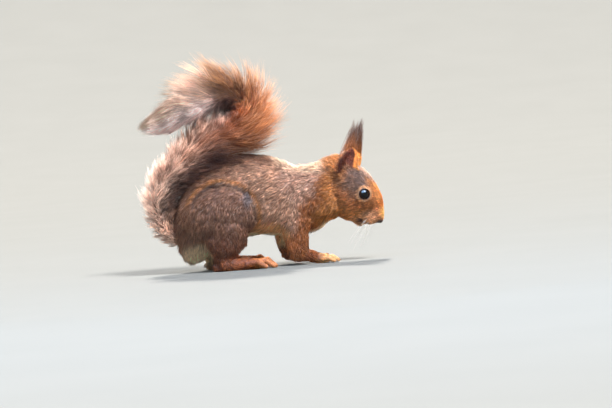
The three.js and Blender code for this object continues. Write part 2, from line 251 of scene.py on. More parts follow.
class Block:
    """A box of the grid, with its corners on whole voxels, and the coordinates of its points."""

    def __init__(self, low, high, voxel=VOXEL):
        self.voxel = voxel
        self.start = np.floor(np.maximum(low, LOW) / voxel).astype(int)
        self.stop = np.ceil(np.minimum(high, HIGH) / voxel).astype(int) + 1
        self.shape = tuple(int(n) for n in self.stop - self.start)
        self.corner = tuple(int(n) for n in self.start)
        axes = [np.arange(a, b, dtype=np.float32) * voxel for a, b in zip(self.start, self.stop)]
        self.x, self.y, self.z = axes[0][:, None, None], axes[1][None, :, None], axes[2][None, None, :]

    def within(self, other):
        """Where this block lies in a larger one of the same voxels."""
        return tuple(slice(a - o, b - o) for a, b, o in zip(self.start, self.stop, other.start))

    def distance(self, points, reach, **polygons):
        """Signed distance from a closed mesh, as far as reach."""
        grid = openvdb.FloatGrid.createLevelSetFromPolygons(
            points,
            transform=openvdb.createLinearTransform(voxelSize=self.voxel),
            halfWidth=reach / self.voxel,
            **polygons,
        )
        field = np.empty(self.shape, np.float32)
        grid.copyToArray(field, ijk=self.corner)
        return field

    def surface(self, field, level=0.0, adaptivity=0.0):
        """The mesh where a field has this level, as points, triangles and quads."""
        grid = openvdb.FloatGrid(background=float(field.max()))
        grid.transform = openvdb.createLinearTransform(voxelSize=self.voxel)
        grid.copyFromArray(np.ascontiguousarray(field, np.float32), ijk=self.corner)
        return grid.convertToPolygons(isovalue=level, adaptivity=adaptivity)


def blurred(field, steps):
    """A field smoothed over so many voxels."""
    reach = math.ceil(2.2 * steps)
    weights = np.exp(-0.5 * (np.arange(-reach, reach + 1) / steps) ** 2)
    weights /= weights.sum()
    for axis in range(3):
        padding = [(0, 0)] * 3
        padding[axis] = (reach, reach)
        padded = np.pad(field, padding, mode="edge")
        total = np.zeros_like(field)
        for i, weight in enumerate(weights):
            window = [slice(None)] * 3
            window[axis] = slice(i, i + field.shape[axis])
            total += np.float32(weight) * padded[tuple(window)]
        field = total
    return field


def doubled(field):
    """A field on a grid of half the voxel size."""
    for axis in range(3):
        field = np.moveaxis(field, axis, 0)
        finer = np.empty((2 * len(field) - 1, *field.shape[1:]), np.float32)
        finer[::2] = field
        finer[1::2] = (field[:-1] + field[1:]) / 2
        field = np.moveaxis(finer, 0, axis)
    return field


def node_mesh(name):
    """Points and triangles of a solid, in millimetres."""
    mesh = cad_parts[name].data
    mesh.calc_loop_triangles()
    points = np.empty(len(mesh.vertices) * 3, np.float32)
    mesh.vertices.foreach_get("co", points)
    triangles = np.empty(len(mesh.loop_triangles) * 3, np.int32)
    mesh.loop_triangles.foreach_get("vertices", triangles)
    return points.reshape(-1, 3) / MM, triangles.reshape(-1, 3)


# ---------------------------------------------------------------- skin
TRUNK = ["trunk", "neck", "head", "nose"]
LEGS = [f"{which}_leg_{side}" for which in ("hind", "fore") for side in SIDES]
FEET = [f"{which}_foot_{side}" for which in ("hind", "fore") for side in SIDES]
EARS = [f"ear_{side}" for side in SIDES]
TAIL_NODES = ["tail_root", "tail_rise", "tail_bend", "tail_tip"]
TAIL_REACH = 6
GAP_CLOSED = 0.25  # gaps up to twice this between the solids are filled
# Muscle where a thigh runs down into its shank: start, end and the radius at each, and its place in Y.
SHANK = (-30, 0, 34), (-34.5, 0, 9), 14.5, 9.0
SHANK_MIDDLE = 25
SHANK_NARROWED = 1.6  # times thinner in Y than in X
# Muscle behind each ear: its middle on the right side's mirror, and its radii.
NAPE = (67, 6.5, 79.6), (11, 9, 8.5)
# The instep: start, end and the radius at each, and its place in Y.
INSTEP = (-34, 0, 5.2), (-11, 0, 4.8), 5.4, 3.9
INSTEP_MIDDLE = 25.3
# Parts of the grid worked on by themselves, by their lowest and highest corners.
NAPE_BOX = (42, -24, 60), (84, 24, 98)
HEAD_BOX = (44, -38, 10), (108, 38, 104)
FEET_BOX = (-66, -38, -2), (70, 38, 34)
# How deep the skin lies under the coat on the head: places along the face, and the depths there.
HEAD_DEPTHS = (0, 14, 26, 38, 46, 51), (3, CROWN_DEPTH, 1.2, 0.9, 0.7, FACE_DEPTH)


def flesh(names, low, high, voxel, reach):
    """Distance from solids taken together, with the gaps between them filled."""
    block = Block(low, high, voxel)
    nearest = np.full(block.shape, reach, np.float32)
    for name in names:
        points, triangles = node_mesh(name)
        nearest = np.minimum(nearest, block.distance(points, 3 * voxel, triangles=triangles))
    points, triangles, quads = block.surface(nearest, GAP_CLOSED)
    return block, block.distance(points, reach, quads=quads) + GAP_CLOSED


def tail_flesh(whole):
    """Distance from the tail's flesh, in short tapering lengths along its bone line."""
    tail = np.full(whole.shape, TAIL_REACH, np.float32)
    step = TAIL_STEPS // 4
    for i in range(0, TAIL_FLESH_END, step):
        start, end = TAIL_LINE[i], TAIL_LINE[i + step]
        margin = TAIL_RADIUS[i] + TAIL_REACH
        part = Block(np.minimum(start, end) - margin, np.maximum(start, end) + margin)
        length = rod(part.x, part.y, part.z, start, end, TAIL_RADIUS[i], TAIL_RADIUS[i + step])
        place = part.within(whole)
        tail[place] = np.minimum(tail[place], length)
    return tail


def ear_field(part, side):
    """One ear: a thin cupped blade, thicker along its front rim."""
    forward, out = ear_axes(part.x, part.y, part.z, side)
    middle, half = (np.interp(part.z, EAR[:, 0], EAR[:, i]) for i in (1, 3))
    across, sheet = ear_sheet(forward, part.z)
    thick = 0.75 + 0.75 * smoothstep(across, 0.55, 1) * smoothstep(EAR_TIP_Z - part.z, 0, 12)
    blade = np.abs(out - sheet) - thick
    outline = np.maximum(np.abs(forward - middle) - half, part.z - EAR_TIP_Z)
    return smooth_common(blade, outline, 1.2)


# What is added to the face, on its axes: middle, radii, and how softly it joins.
FACE_SHAPES = [
    ((25, 4.2, 8.2), (12.5, 10.5, 8.0), 4),  # brows
    ((42.5, -6.2, 5.2), (5.6, 4.4, 4.0), 3),  # whisker pads
    ((38.5, -14.6, 0), (4.5, 3.2, 4.2), 2),  # chin
    ((49.6, -1.7, 0), (3.0, 2.6, 3.3), 0.8),  # nose
]
NOSTRIL = (51.9, -1.9, 2.3), (1.5, 0.85, 1.0)  # its middle and radii
LIPS = [(47.8, -9.6, 0), (45.2, -11.4, 3.6), (41, -12.6, 6.2), (37, -12.2, 8.2)]  # from the nose back
CLEFT = (-3.6, -9.4)  # heights of the ends of the cleft under the nose
EYE_LOOK = unit(np.array([0.22, 0.14, 0.96]))  # the way an eye looks, on the face's axes
EYE_OPENING = 4.55  # radius of the gap between the lids
EYE_PLAY = 0.05  # gap between the eyeball and its socket
LID = 1.05  # thickness of a lid


def sculpt_face(head, along, up, across):
    """Brows, whisker pads, nose, mouth, and lids round the eyes."""
    outer = np.abs(across)
    for (x, y, z), radii, width in FACE_SHAPES:
        head = smooth_union(head, ellipsoid(along - x, up - y, outer - z, radii), width)
    (x, y, z), radii = NOSTRIL
    head = smooth_cut(head, ellipsoid(along - x, up - y, outer - z, radii), 0.4)
    head = smooth_cut(head, rod(along, up, across, (52.2, CLEFT[0], 0), (48.2, CLEFT[1], 0), 0.45), 0.5)
    for start, end in zip(LIPS, LIPS[1:]):
        head = smooth_cut(head, rod(along, up, outer, start, end, 0.3), 0.8)

    x, y, z = along - EYE_ON_FACE[0], up - EYE_ON_FACE[1], outer - EYE_ON_FACE[2]
    head = smooth_union(head, ball(x, y, z, EYE_RADIUS + LID), 1.8)
    outward = x * EYE_LOOK[0] + y * EYE_LOOK[1] + z * EYE_LOOK[2]
    off_axis = [value - outward * look for value, look in zip((x, y, z), EYE_LOOK)]
    opening = ball(*off_axis, EYE_OPENING)
    corner = rod(*off_axis, (1.5, -1.2, 0), (5.4, -2.8, 0), 2.6, 0.4)
    opening = np.maximum(smooth_union(opening, corner, 0.6), 1 - outward)
    head = smooth_cut(head, opening, 0.4)
    return smooth_cut(head, ball(x, y, z, EYE_RADIUS + EYE_PLAY), 0.2)


# A digit of a foot, behind its claw: how far back its knuckle and its root lie, their heights, and its
# radii at its root, knuckle and tip. Then the middle of a foot in Y, and the height of a digit's tip.
TOE = {"hind": (6.5, 15, 7.4, 5.0, 2.5, 2.3, 1.7), "fore": (4.8, 11, 5.2, 4.0, 1.9, 1.7, 1.3)}
FOOT_MIDDLE = {"hind": 26.5, "fore": 11.3}
TOE_TIP_HEIGHT = 2.1


def add_toes(feet, block):
    """Digits arched from the foot down to each claw, with gaps between them."""
    for name in [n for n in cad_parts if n.startswith("claw_")]:
        points, _ = node_mesh(name)
        _, which, side, _ = name.split("_")
        back, far_back, high, root_high, root_radius, radius, tip_radius = TOE[which]
        middle = SIDES[side] * FOOT_MIDDLE[which]
        x, y = points[:, 0].min(), points[:, 1].mean()
        high = high - 0.16 * abs(y - middle)
        tip = (x, y, TOE_TIP_HEIGHT)
        knuckle = (x - back, mix(y, middle, 0.12), high)
        root = (x - far_back, mix(y, middle, 0.45), root_high)
        part = Block(np.minimum(root, tip) - 6, np.array([x + 6, max(y, root[1]) + 6, high + 6]))
        digit = np.minimum(
            rod(part.x, part.y, part.z, root, knuckle, root_radius, radius),
            rod(part.x, part.y, part.z, knuckle, tip, radius, tip_radius),
        )
        place = part.within(block)
        feet[place] = smooth_union(feet[place], digit, 0.8)
    return feet


def grow_skin():
    """The skin as one field: the smoothed solids drawn in by the coat's depth, with what they leave out."""
    whole = Block(LOW, HIGH)
    _, body = flesh(TRUNK + LEGS + FEET, LOW, HIGH, 2 * VOXEL, 9)
    body = doubled(blurred(body, 2.2))
    low_leg = smoothstep(-whole.z, -34, -8) * smoothstep(np.abs(whole.y), 9, 14)
    skin = body + mix(BODY_DEPTH, SHIN_DEPTH, low_leg)
    beside = SHANK_NARROWED * (np.abs(whole.y) - SHANK_MIDDLE)
    skin = smooth_union(skin, rod(whole.x, beside, whole.z, *SHANK), 4)
    nape = Block(*NAPE_BOX)
    place = nape.within(whole)
    (x, y, z), radii = NAPE
    muscle = ellipsoid(nape.x - x, np.abs(nape.y) - y, nape.z - z, radii)
    skin[place] = smooth_union(skin[place], muscle, 6)
    skin = smooth_union(skin, tail_flesh(whole), 4)

    head_block, head = flesh(TRUNK + LEGS, *HEAD_BOX, VOXEL, 5)
    along, up, across = face_axes(head_block.x, head_block.y, head_block.z)
    depth = np.interp(along, *HEAD_DEPTHS)
    head = blurred(head, 1.6) + depth.astype(np.float32)
    head = sculpt_face(head, along, up, across)
    place = head_block.within(whole)
    share = smoothstep(along, -3, 9) * smoothstep(head_block.x, 55, 65)
    skin[place] = mix(skin[place], head, share)
    for side, sign in SIDES.items():
        part = Block((56, min(0, sign * 32), 60), (100, max(0, sign * 32), 104))
        place = part.within(whole)
        skin[place] = smooth_union(skin[place], ear_field(part, side), 2.4)

    foot_block, feet = flesh(LEGS + FEET, *FEET_BOX, VOXEL, 4)
    feet = blurred(feet, 0.7) + mix(FOOT_DEPTH, SHIN_DEPTH, smoothstep(foot_block.z, 8, 18))
    instep = rod(foot_block.x, np.abs(foot_block.y) - INSTEP_MIDDLE, foot_block.z, *INSTEP)
    feet = add_toes(smooth_union(feet, instep, 2), foot_block)
    feet = feet - FOOT_DEPTH * smoothstep(-foot_block.z, -2.5, 0)
    place = foot_block.within(whole)
    in_front = smoothstep(foot_block.x, 8, 14)
    share = np.maximum(smoothstep(np.abs(foot_block.y), 9, 13), in_front)
    share = share * smoothstep(-foot_block.z, -22, -12)
    skin[place] = mix(skin[place], feet, share)
    skin = np.maximum(skin, -whole.z)
    return whole.surface(skin)


# ---------------------------------------------------------------- meshes
def add_colours(mesh, key, colours):
    """A colour for each point, kept in the mesh under this key."""
    layer = mesh.attributes.new(key, "FLOAT_COLOR", "POINT")
    rgba = np.ones((len(colours), 4), np.float32)
    rgba[:, :3] = colours
    layer.data.foreach_set("color", rgba.ravel())


def made_mesh(name, points, *faces, colours=None, uv=None):
    """A smooth mesh object: points in millimetres, and faces as arrays of triangles or of quads."""
    mesh = bpy.data.meshes.new(name)
    mesh.vertices.add(len(points))
    mesh.vertices.foreach_set("co", np.ascontiguousarray(points * MM, np.float32).ravel())
    corners = np.concatenate([group.ravel() for group in faces])
    mesh.loops.add(len(corners))
    mesh.loops.foreach_set("vertex_index", np.ascontiguousarray(corners, np.int32))
    sides = np.concatenate([np.full(len(group), group.shape[1], np.int32) for group in faces])
    mesh.polygons.add(len(sides))
    starts = np.concatenate([[0], np.cumsum(sides)[:-1]]).astype(np.int32)
    mesh.polygons.foreach_set("loop_start", starts)
    mesh.polygons.foreach_set("use_smooth", np.ones(len(sides), bool))
    mesh.update(calc_edges=True)
    for key, values in (colours or {}).items():
        add_colours(mesh, key, values)
    if uv is not None:
        mesh.uv_layers.new(name="OFBake")
        mesh.uv_layers["OFBake"].uv.foreach_set("vector", np.ascontiguousarray(uv, np.float32).ravel())
    piece = bpy.data.objects.new(name, mesh)
    bpy.context.scene.collection.objects.link(piece)
    return piece


def read(collection, key, width, kind=np.float32):
    values = np.empty(len(collection) * width, kind)
    collection.foreach_get(key, values)
    return values.reshape(-1, width) if width > 1 else values


SKIN_KEPT = 0.32  # share of the skin's faces kept


def made_skin():
    """The skin, with larger faces where a deep coat hides it, and its unwrap."""
    points, triangles, quads = grow_skin()
    skin = made_mesh("skin", points, triangles, quads)
    along, _, _ = face_axes(*points.T)
    fine = (points[:, 0] > 56) & (along > -12) | (points[:, 2] < 14)
    coarse = skin.vertex_groups.new(name="coarse")
    coarse.add(np.flatnonzero(~fine).tolist(), 1.0, "REPLACE")
    thin = skin.modifiers.new("larger_faces", "DECIMATE")
    thin.ratio = SKIN_KEPT
    thin.vertex_group = coarse.name
    bpy.context.view_layer.objects.active = skin
    skin.select_set(True)
    bpy.ops.object.modifier_apply(modifier=thin.name)
    skin.vertex_groups.clear()
    skin.data.uv_layers.new(name="OFBake")
    bpy.ops.object.mode_set(mode="EDIT")
    bpy.ops.mesh.select_all(action="SELECT")
    bpy.ops.mesh.quads_convert_to_tris()
    bpy.ops.uv.smart_project(angle_limit=math.radians(66), island_margin=0.002)
    bpy.ops.object.mode_set(mode="OBJECT")
    skin.select_set(False)
    return skin


# ---------------------------------------------------------------- markings
# Colours for the coat, as linear red, green and blue: the coat's own, and also a painted shade, a painted
# highlight for the nape and a slate with a painted sheen in it.
PELT = {
    "back": (0.31, 0.153, 0.095),
    "flank": (0.64, 0.37, 0.26),
    "shoulder": (0.66, 0.40, 0.31),
    "thigh": (0.30, 0.15, 0.10),
    "shank": (0.19, 0.057, 0.020),
    "golden": (0.58, 0.235, 0.065),
    "rufous": (0.42, 0.145, 0.045),
    "temple": (0.21, 0.115, 0.080),
    "cheek": (0.50, 0.185, 0.060),
    "straw": (0.76, 0.42, 0.12),
    "bridge": (0.52, 0.155, 0.016),
    "crown": (0.55, 0.345, 0.26),
    "buff": (0.68, 0.46, 0.29),
    "cream": (0.99, 0.78, 0.50),
    "belly": (0.84, 0.46, 0.21),
    "foot": (0.31, 0.090, 0.022),
    "toe": (0.60, 0.23, 0.075),
    "concha": (0.145, 0.030, 0.010),
    "lid": (0.70, 0.37, 0.18),
    # a painted highlight, for the nape
    "nape": (0.97, 0.74, 0.56),
    "paw": (0.86, 0.47, 0.20),
    "muzzle": (0.52, 0.25, 0.12),
    "ridge": (0.88, 0.36, 0.085),
    # dark, with a blue-grey that is a painted sheen
    "slate_sheen": (0.085, 0.07, 0.085),
    # painted shade, not a colour of the coat
    "painted_shade": (0.11, 0.05, 0.035),
    "dark": (0.045, 0.024, 0.018),
}
PELT = {name: np.array(hue) for name, hue in PELT.items()}

# Marks painted in turn over the brown of the back: colour, middle, half sizes, and how soft the edge is.
# A mark lies on both sides of the body. Those of the face are placed on the face's axes.
MARKS = [
    ("flank", (8, 24, 60), (44, 18, 30), 0.5),
    ("shoulder", (42, 20, 74), (26, 16, 24), 0.6),
    ("thigh", (-37, 32, 44), (33, 16, 30), 0.25),
    ("back", (-62, 12, 60), (22, 20, 34), 0.5),
    ("shank", (-33, 24, 4), (24, 20, 28), 1.3),
    ("cream", (0, 0, 24), (56, 17, 13), 0.35),
    ("belly", (5, 19, 27), (16, 13, 11), 0.6),
    ("cream", (42, 0, 32), (20, 12, 14), 0.4),
    ("cream", (-56, 11, 13), (15, 14, 11), 1.1),
    ("rufous", (41, 17, 32), (13, 14, 26), 0.4),
    ("rufous", (30, 17, 12), (18, 12, 16), 0.45),
    ("rufous", (59, 18, 58), (14, 12, 20), 0.55),
    ("golden", (57, 16, 40), (15, 12, 12), 0.6),
    # A painted highlight of the rim light along the nape.
    ("nape", (44, 0, 88), (27, 26, 12), 0.9),
    # Painted shade where the tail lies against the rump and the back.
    ("painted_shade", (-72, 0, 62), (11, 13, 24), 0.9),
    ("painted_shade", (-46, 0, 93), (30, 16, 9), 0.9),
    ("golden", (64, 8, 84), (10, 16, 10), 0.7),
    ("golden", (63, 18, 66), (12, 10, 18), 0.9),
    ("foot", (-10, 25, 3), (30, 14, 12), 0.8),
    ("foot", (44, 13, 4), (20, 12, 8), 0.4),
    ("paw", (58, 11, 3), (15, 11, 10), 0.6),
    ("toe", (4, 26, 4), (15, 11, 10), 0.7),
]
FACE_MARKS = [
    ("cheek", (20, 0, 12), (34, 36, 26), 0.8),
    ("temple", (12, 9, 14), (15, 14, 8), 0.8),
    ("temple", (4, 21, 0), (24, 9, 18), 0.8),
    ("crown", (9, 19, 0), (14, 6, 9), 0.9),
    ("bridge", (38, 11.5, 0), (19, 7.5, 8.5), 0.9),
    ("golden", (30, 13, 9), (14, 4.5, 5), 0.9),
    ("golden", (16, -20, 8), (26, 9, 20), 0.9),
    ("golden", (40, -9, 8), (10, 6, 8), 0.9),
    ("muzzle", (42, -4, 7), (10, 8, 5), 0.9),
    ("straw", (47, 5, 0), (6, 4, 6), 1.0),
    ("muzzle", (38, -15, 0), (11, 4, 10), 0.9),
    # Painted shade in the corner of the mouth.
    ("painted_shade", (39.5, -13, 6.5), (3.0, 2.0, 3.2), 1.2),
]


def ripple(points, size):
    """A wandering value from -1 to 1, for the ragged edges of marks."""
    x, y, z = (points / size).T
    first = np.sin(x * 2.1 + 1.3 * np.sin(z * 1.7)) + np.sin(y * 1.9 + 1.1 * np.sin(x * 2.3))
    return (first + np.sin(z * 2.3 + 1.7 * np.sin(y * 1.3 + x))) / 3


THIGH = (-33, 47), (28.5, 27)  # middle and radii of the thigh's round outline, in X and Z
BLOTCH = (-12, 60), (4, 9)  # the same for the dark blotch at the knee, whose blue-grey is a painted sheen
EYE_RING = (-7.5, -6.8)  # the pale ring round an eye fades out between these distances from its middle


def from_outline(points, middle, radii):
    """Distance in X and Z from the middle of an oval outline, in shares of its radii."""
    return np.hypot((points[:, 0] - middle[0]) / radii[0], (points[:, 2] - middle[1]) / radii[1])


def pelt(points):
    """The coat's colour at places on the body, with painted shade, a painted highlight and a painted sheen
    among its marks. Skin and tufts both take it from here.
    """
    colour = np.tile(PELT["back"], (len(points), 1))
    mirrored = points * (1, 0, 1) + np.abs(points) * (0, 1, 0)
    ragged = 0.12 * ripple(points, 5) + 0.06 * ripple(points, 1.6)

    def tint(hue, share):
        colour[:] = mix(colour, hue, share[:, None])

    def paint(mark, places):
        name, middle, sizes, softness = mark
        away = np.linalg.norm((places - middle) / sizes, axis=1) + ragged
        tint(PELT[name], smoothstep(-away, -1 - softness / 2, -1 + softness / 2))

    for mark in MARKS:
        paint(mark, mirrored)
    edge = from_outline(points, *THIGH) - 1
    upper = smoothstep(points[:, 2] + 0.5 * points[:, 0], 20, 40) * smoothstep(np.abs(points[:, 1]), 14, 22)
    tint(PELT["golden"], 0.85 * upper * np.exp(-(((edge - 0.10) / 0.07) ** 2)))
    # A dark band just inside the thigh's outline: painted shadow in the crease between thigh and body.
    tint(PELT["dark"], 0.75 * upper * np.exp(-(((edge + 0.04) / 0.05) ** 2)))
    # The dark blotch at the knee; its blue-grey is a painted sheen.
    tint(PELT["slate_sheen"], 0.8 * upper * smoothstep(-from_outline(points, *BLOTCH), -1.3, -0.5))

    along, up, across = face_axes(*points.T)
    on_head = smoothstep(along, -10, 14) * smoothstep(points[:, 0], 54, 66)
    body = colour.copy()
    on_axes = np.stack([along, up, np.abs(across)], 1)
    for mark in FACE_MARKS:
        paint(mark, on_axes)
    from_eye = np.linalg.norm(on_axes - EYE_ON_FACE, axis=1) + 1.5 * ragged
    tint(PELT["lid"], 0.9 * smoothstep(-from_eye, *EYE_RING))
    tint(body, 1 - on_head)

    for side in SIDES:
        forward, out = ear_axes(*points.T, side)
        share, sheet = ear_sheet(forward, points[:, 2])
        on_ear = smoothstep(points[:, 2], 73, 76.5) * about(out, sheet, 3.6, 2.2)
        on_ear = on_ear * about(share, 0, 1.3, 1.1)
        inner = smoothstep(out - sheet, -0.1, 0.5) * about(share, -0.2, 0.92, 0.80)
        hue = mix(PELT["rufous"], PELT["ridge"], smoothstep(share, 0.5, 0.7)[:, None])
        hue = mix(hue, PELT["concha"], inner[:, None])
        tint(hue, on_ear)
    return colour


def eye_axes(points):
    """How far points lie out along the nearer eye's axis, and how far off it."""
    along, up, across = face_axes(*points.T)
    place = np.stack([along, up, np.abs(across)], 1) - EYE_ON_FACE
    outward = place @ EYE_LOOK
    return outward, np.sqrt(np.maximum((place**2).sum(1) - outward**2, 0))


def bare(points):
    """Where there is no hair: the nose, the lips and the rims of the lids, as a share from 0 to 1."""
    along, up, across = face_axes(*points.T)
    outer = np.abs(across)
    nose = smoothstep(-ellipsoid(along - 49.6, up + 2.4, across, (4.6, 3.4, 4.2)), -0.3, 0.3)
    cleft = smoothstep(-rod(along, up, across, (52, CLEFT[0], 0), (48.2, CLEFT[1], 0), 0.8), -0.4, 0.1)
    lips = smoothstep(-rod(along, up, outer, (45.2, -11.4, 3.6), (38, -12.6, 7.6), 1.0), -0.4, 0.2)
    outward, from_axis = eye_axes(points)
    rim = smoothstep(-from_axis, -5.3, -4.7) * (outward > 0) * (outward < 9)
    return np.maximum.reduce([nose, cleft, 0.35 * lips, rim])


# ---------------------------------------------------------------- coat
TOES = [(7, 27), (0, 34), (0, 20), (60, 11), (57, 17), (57, 5)]
# How the coat lies at places on the body: place, the way it lies, length and width of a tuft, and how far
# it is lifted, in degrees. It is mirrored, and it changes smoothly between the places.
LIE = [
    ((99, 0, 38), (-0.63, 0, 0.78), 1.6, 0.23, 14),
    ((99, 5, 34), (-0.5, 0.5, 0.3), 1.7, 0.23, 14),
    ((96, 0, 52), (-0.4, 0, 0.9), 2.6, 0.28, 14),
    ((88, 0, 70), (-0.75, 0, 0.6), 3.6, 0.32, 17),
    ((89, 10, 62), (-0.7, 0.2, 0.6), 2.9, 0.28, 14),
    ((78, 0, 82), (-1, 0, 0.1), 4.8, 0.37, 22),
    ((80, 13, 70), (-1, 0.1, 0.1), 3.4, 0.3, 17),
    ((94, 12, 48), (-0.5, 0.5, -0.3), 2.4, 0.25, 14),
    ((86, 15, 46), (-0.95, 0.1, -0.3), 3.4, 0.3, 16),
    ((78, 19, 56), (-1, 0, -0.15), 4.3, 0.34, 18),
    ((90, 9, 36), (-0.9, 0.2, -0.1), 2.6, 0.25, 14),
    ((82, 10, 36), (-1, 0, 0.1), 3.8, 0.3, 17),
    ((72, 16, 46), (-0.9, 0, -0.3), 4.6, 0.34, 22),
    ((72, 0, 40), (-0.9, 0, -0.4), 5.5, 0.36, 25),
    ((68, 10, 84), (-0.9, 0.2, 0.4), 5.5, 0.36, 35),
    ((56, 0, 91), (-1, 0, 0.1), 8.0, 0.44, 44),
    ((62, 18, 66), (-0.95, 0, -0.3), 7.0, 0.44, 30),
    ((56, 14, 46), (-0.7, 0, -0.7), 7.5, 0.44, 30),
    ((45, 21, 68), (-0.75, 0, -0.65), 9.5, 0.53, 32),
    ((42, 0, 87), (-1, 0, 0), 9.5, 0.50, 38),
    ((2, 0, 96), (-1, 0, 0), 9.5, 0.5, 24),
    ((-30, 0, 95), (-1, 0, -0.2), 9.5, 0.5, 24),
    ((-60, 0, 78), (-0.6, 0, -0.8), 9.5, 0.53, 27),
    ((-78, 0, 50), (-0.2, 0, -1), 9.5, 0.53, 30),
    ((-70, 14, 30), (-0.2, 0, -1), 9.5, 0.53, 32),
    ((-58, 12, 14), (-0.3, 0, -0.95), 6.5, 0.48, 35),
    ((5, 27, 68), (-0.85, 0, -0.5), 10.5, 0.55, 30),
    ((10, 25, 42), (-0.7, 0, -0.7), 9.5, 0.53, 32),
    ((0, 0, 27), (-1, 0, 0), 8.0, 0.48, 27),
    ((45, 0, 32), (-0.6, 0, -0.8), 9.0, 0.48, 35),
    ((-6, 30, 56), (-0.6, 0, -0.8), 7.5, 0.48, 27),
    ((-30, 32, 74), (-0.85, 0, -0.5), 8.5, 0.48, 22),
    ((-35, 36, 50), (-0.25, 0, -0.97), 8.5, 0.48, 23),
    ((-60, 30, 46), (-0.2, 0, -1), 8.5, 0.5, 24),
    ((-33, 33, 24), (0, 0, -1), 6.5, 0.42, 24),
    ((-38, 24, 9), (0.1, 0, -1), 4.3, 0.36, 21),
    ((-20, 24, 8), (1, 0, -0.2), 2.9, 0.3, 16),
    ((0, 25, 6), (1, 0, -0.2), 2.2, 0.25, 16),
    ((34, 22, 46), (-0.3, 0, -0.95), 7.5, 0.48, 27),
    ((38, 20, 26), (-0.1, 0, -1), 5.5, 0.4, 25),
    ((24, 22, 16), (0, 0, -1), 5.0, 0.38, 25),
    ((36, 16, 9), (0.8, 0, -0.6), 4.1, 0.34, 18),
    ((50, 12, 7), (1, 0, -0.2), 2.2, 0.25, 16),
    ((76, 13, 86), (-0.1, 0, 1), 2.0, 0.23, 14),
    ((80, 13, 95), (0, 0, 1), 2.6, 0.25, 18),
    *[((x, y, 3), (1, 0, -0.3), 0.9, 0.2, 10) for x, y in TOES],
    ((70, 14, 84), (-0.5, 0.3, 0.8), 5.5, 0.34, 38),
    ((66, 5, 88), (-0.6, 0, 0.5), 6.5, 0.36, 42),
    ((-22, 33, 76), (-0.8, 0, -0.4), 4.5, 0.36, 20),
    ((-4, 31, 62), (-0.5, 0, -0.8), 4.5, 0.36, 20),
]
ROOT_SUNK = 0.35  # a tuft starts this far under the skin
BAKE_PATCH = 0.003  # width of a tuft's place in the OFBake map
PIECE_LIMIT = 190_000  # triangles in one coat piece


class Roots:
    """Places on the skin where tufts grow, or any choice of them."""

    def __init__(self, points, normals, uv):
        self.points, self.normals, self.uv = points, normals, uv

    def __len__(self):
        return len(self.points)

    def at(self, chosen):
        return Roots(self.points[chosen], self.normals[chosen], self.uv[chosen])


class SkinSurface:
    """The skin's mesh as arrays, for rooting the coat on."""

    def __init__(self, piece):
        mesh = piece.data
        self.points = read(mesh.vertices, "co", 3) / MM
        self.normals = read(mesh.vertex_normals, "vector", 3)
        self.corners = read(mesh.loops, "vertex_index", 1, np.int32).reshape(-1, 3)
        self.uv = read(mesh.uv_layers["OFBake"].uv, "vector", 2).reshape(-1, 3, 2)
        a, b, c = (self.points[self.corners[:, i]] for i in range(3))
        self.areas = np.linalg.norm(np.cross(b - a, c - a), axis=1) / 2
        self.middles = (a + b + c) / 3

    def scatter(self, per_area):
        """Random roots, so many to each square millimetre of each face."""
        expected = np.cumsum(self.areas * per_area)
        count = int(expected[-1])
        face = np.searchsorted(expected, rng.random(count) * expected[-1])
        first, second = rng.random(count), rng.random(count)
        folded = first + second > 1
        first[folded], second[folded] = 1 - first[folded], 1 - second[folded]
        shares = np.stack([1 - first - second, first, second], 1)[:, :, None]
        corners = self.corners[face]
        points = (self.points[corners] * shares).sum(1)
        normals = unit((self.normals[corners] * shares).sum(1))
        return Roots(points, normals, (self.uv[face] * shares).sum(1))


def lie_at(points):
    """The way the coat lies, and a tuft's length, width and lift, at places on the body."""
    places = np.array([row[0] for row in LIE], float)
    ways = unit(np.array([row[1] for row in LIE], float))
    sizes = np.array([row[2:] for row in LIE])
    total = np.zeros((len(points), 1))
    way, size = np.zeros((len(points), 3)), np.zeros((len(points), 3))
    for flip in (1, -1):
        away = ((points[:, None] - places * (1, flip, 1)) ** 2).sum(2) + 4
        weight = away**-2.0
        total += weight.sum(1, keepdims=True)
        way += weight @ (ways * (1, flip, 1))
        size += weight @ sizes
    return unit(way), size / total


def wandering(points, scale, seed):
    """A smooth random direction field, so that neighbouring tufts stray together."""
    draws = np.random.default_rng(seed)
    stray = np.zeros((len(points), 3))
    for _ in range(9):
        wave, phase = draws.normal(size=3) / scale, draws.uniform(0, 2 * math.pi)
        stray += np.sin(points @ wave + phase)[:, None] * draws.normal(size=3)
    return stray / 3


def nearest_of(points, count):
    """For each point the number of the nearest of so many picked at random, to gather tufts into locks."""
    picked = rng.choice(len(points), count, replace=False)
    tree = kdtree.KDTree(count)
    for i in picked:
        tree.insert(points[i], int(i))
    tree.balance()
    return np.array([tree.find(point)[1] for point in points])


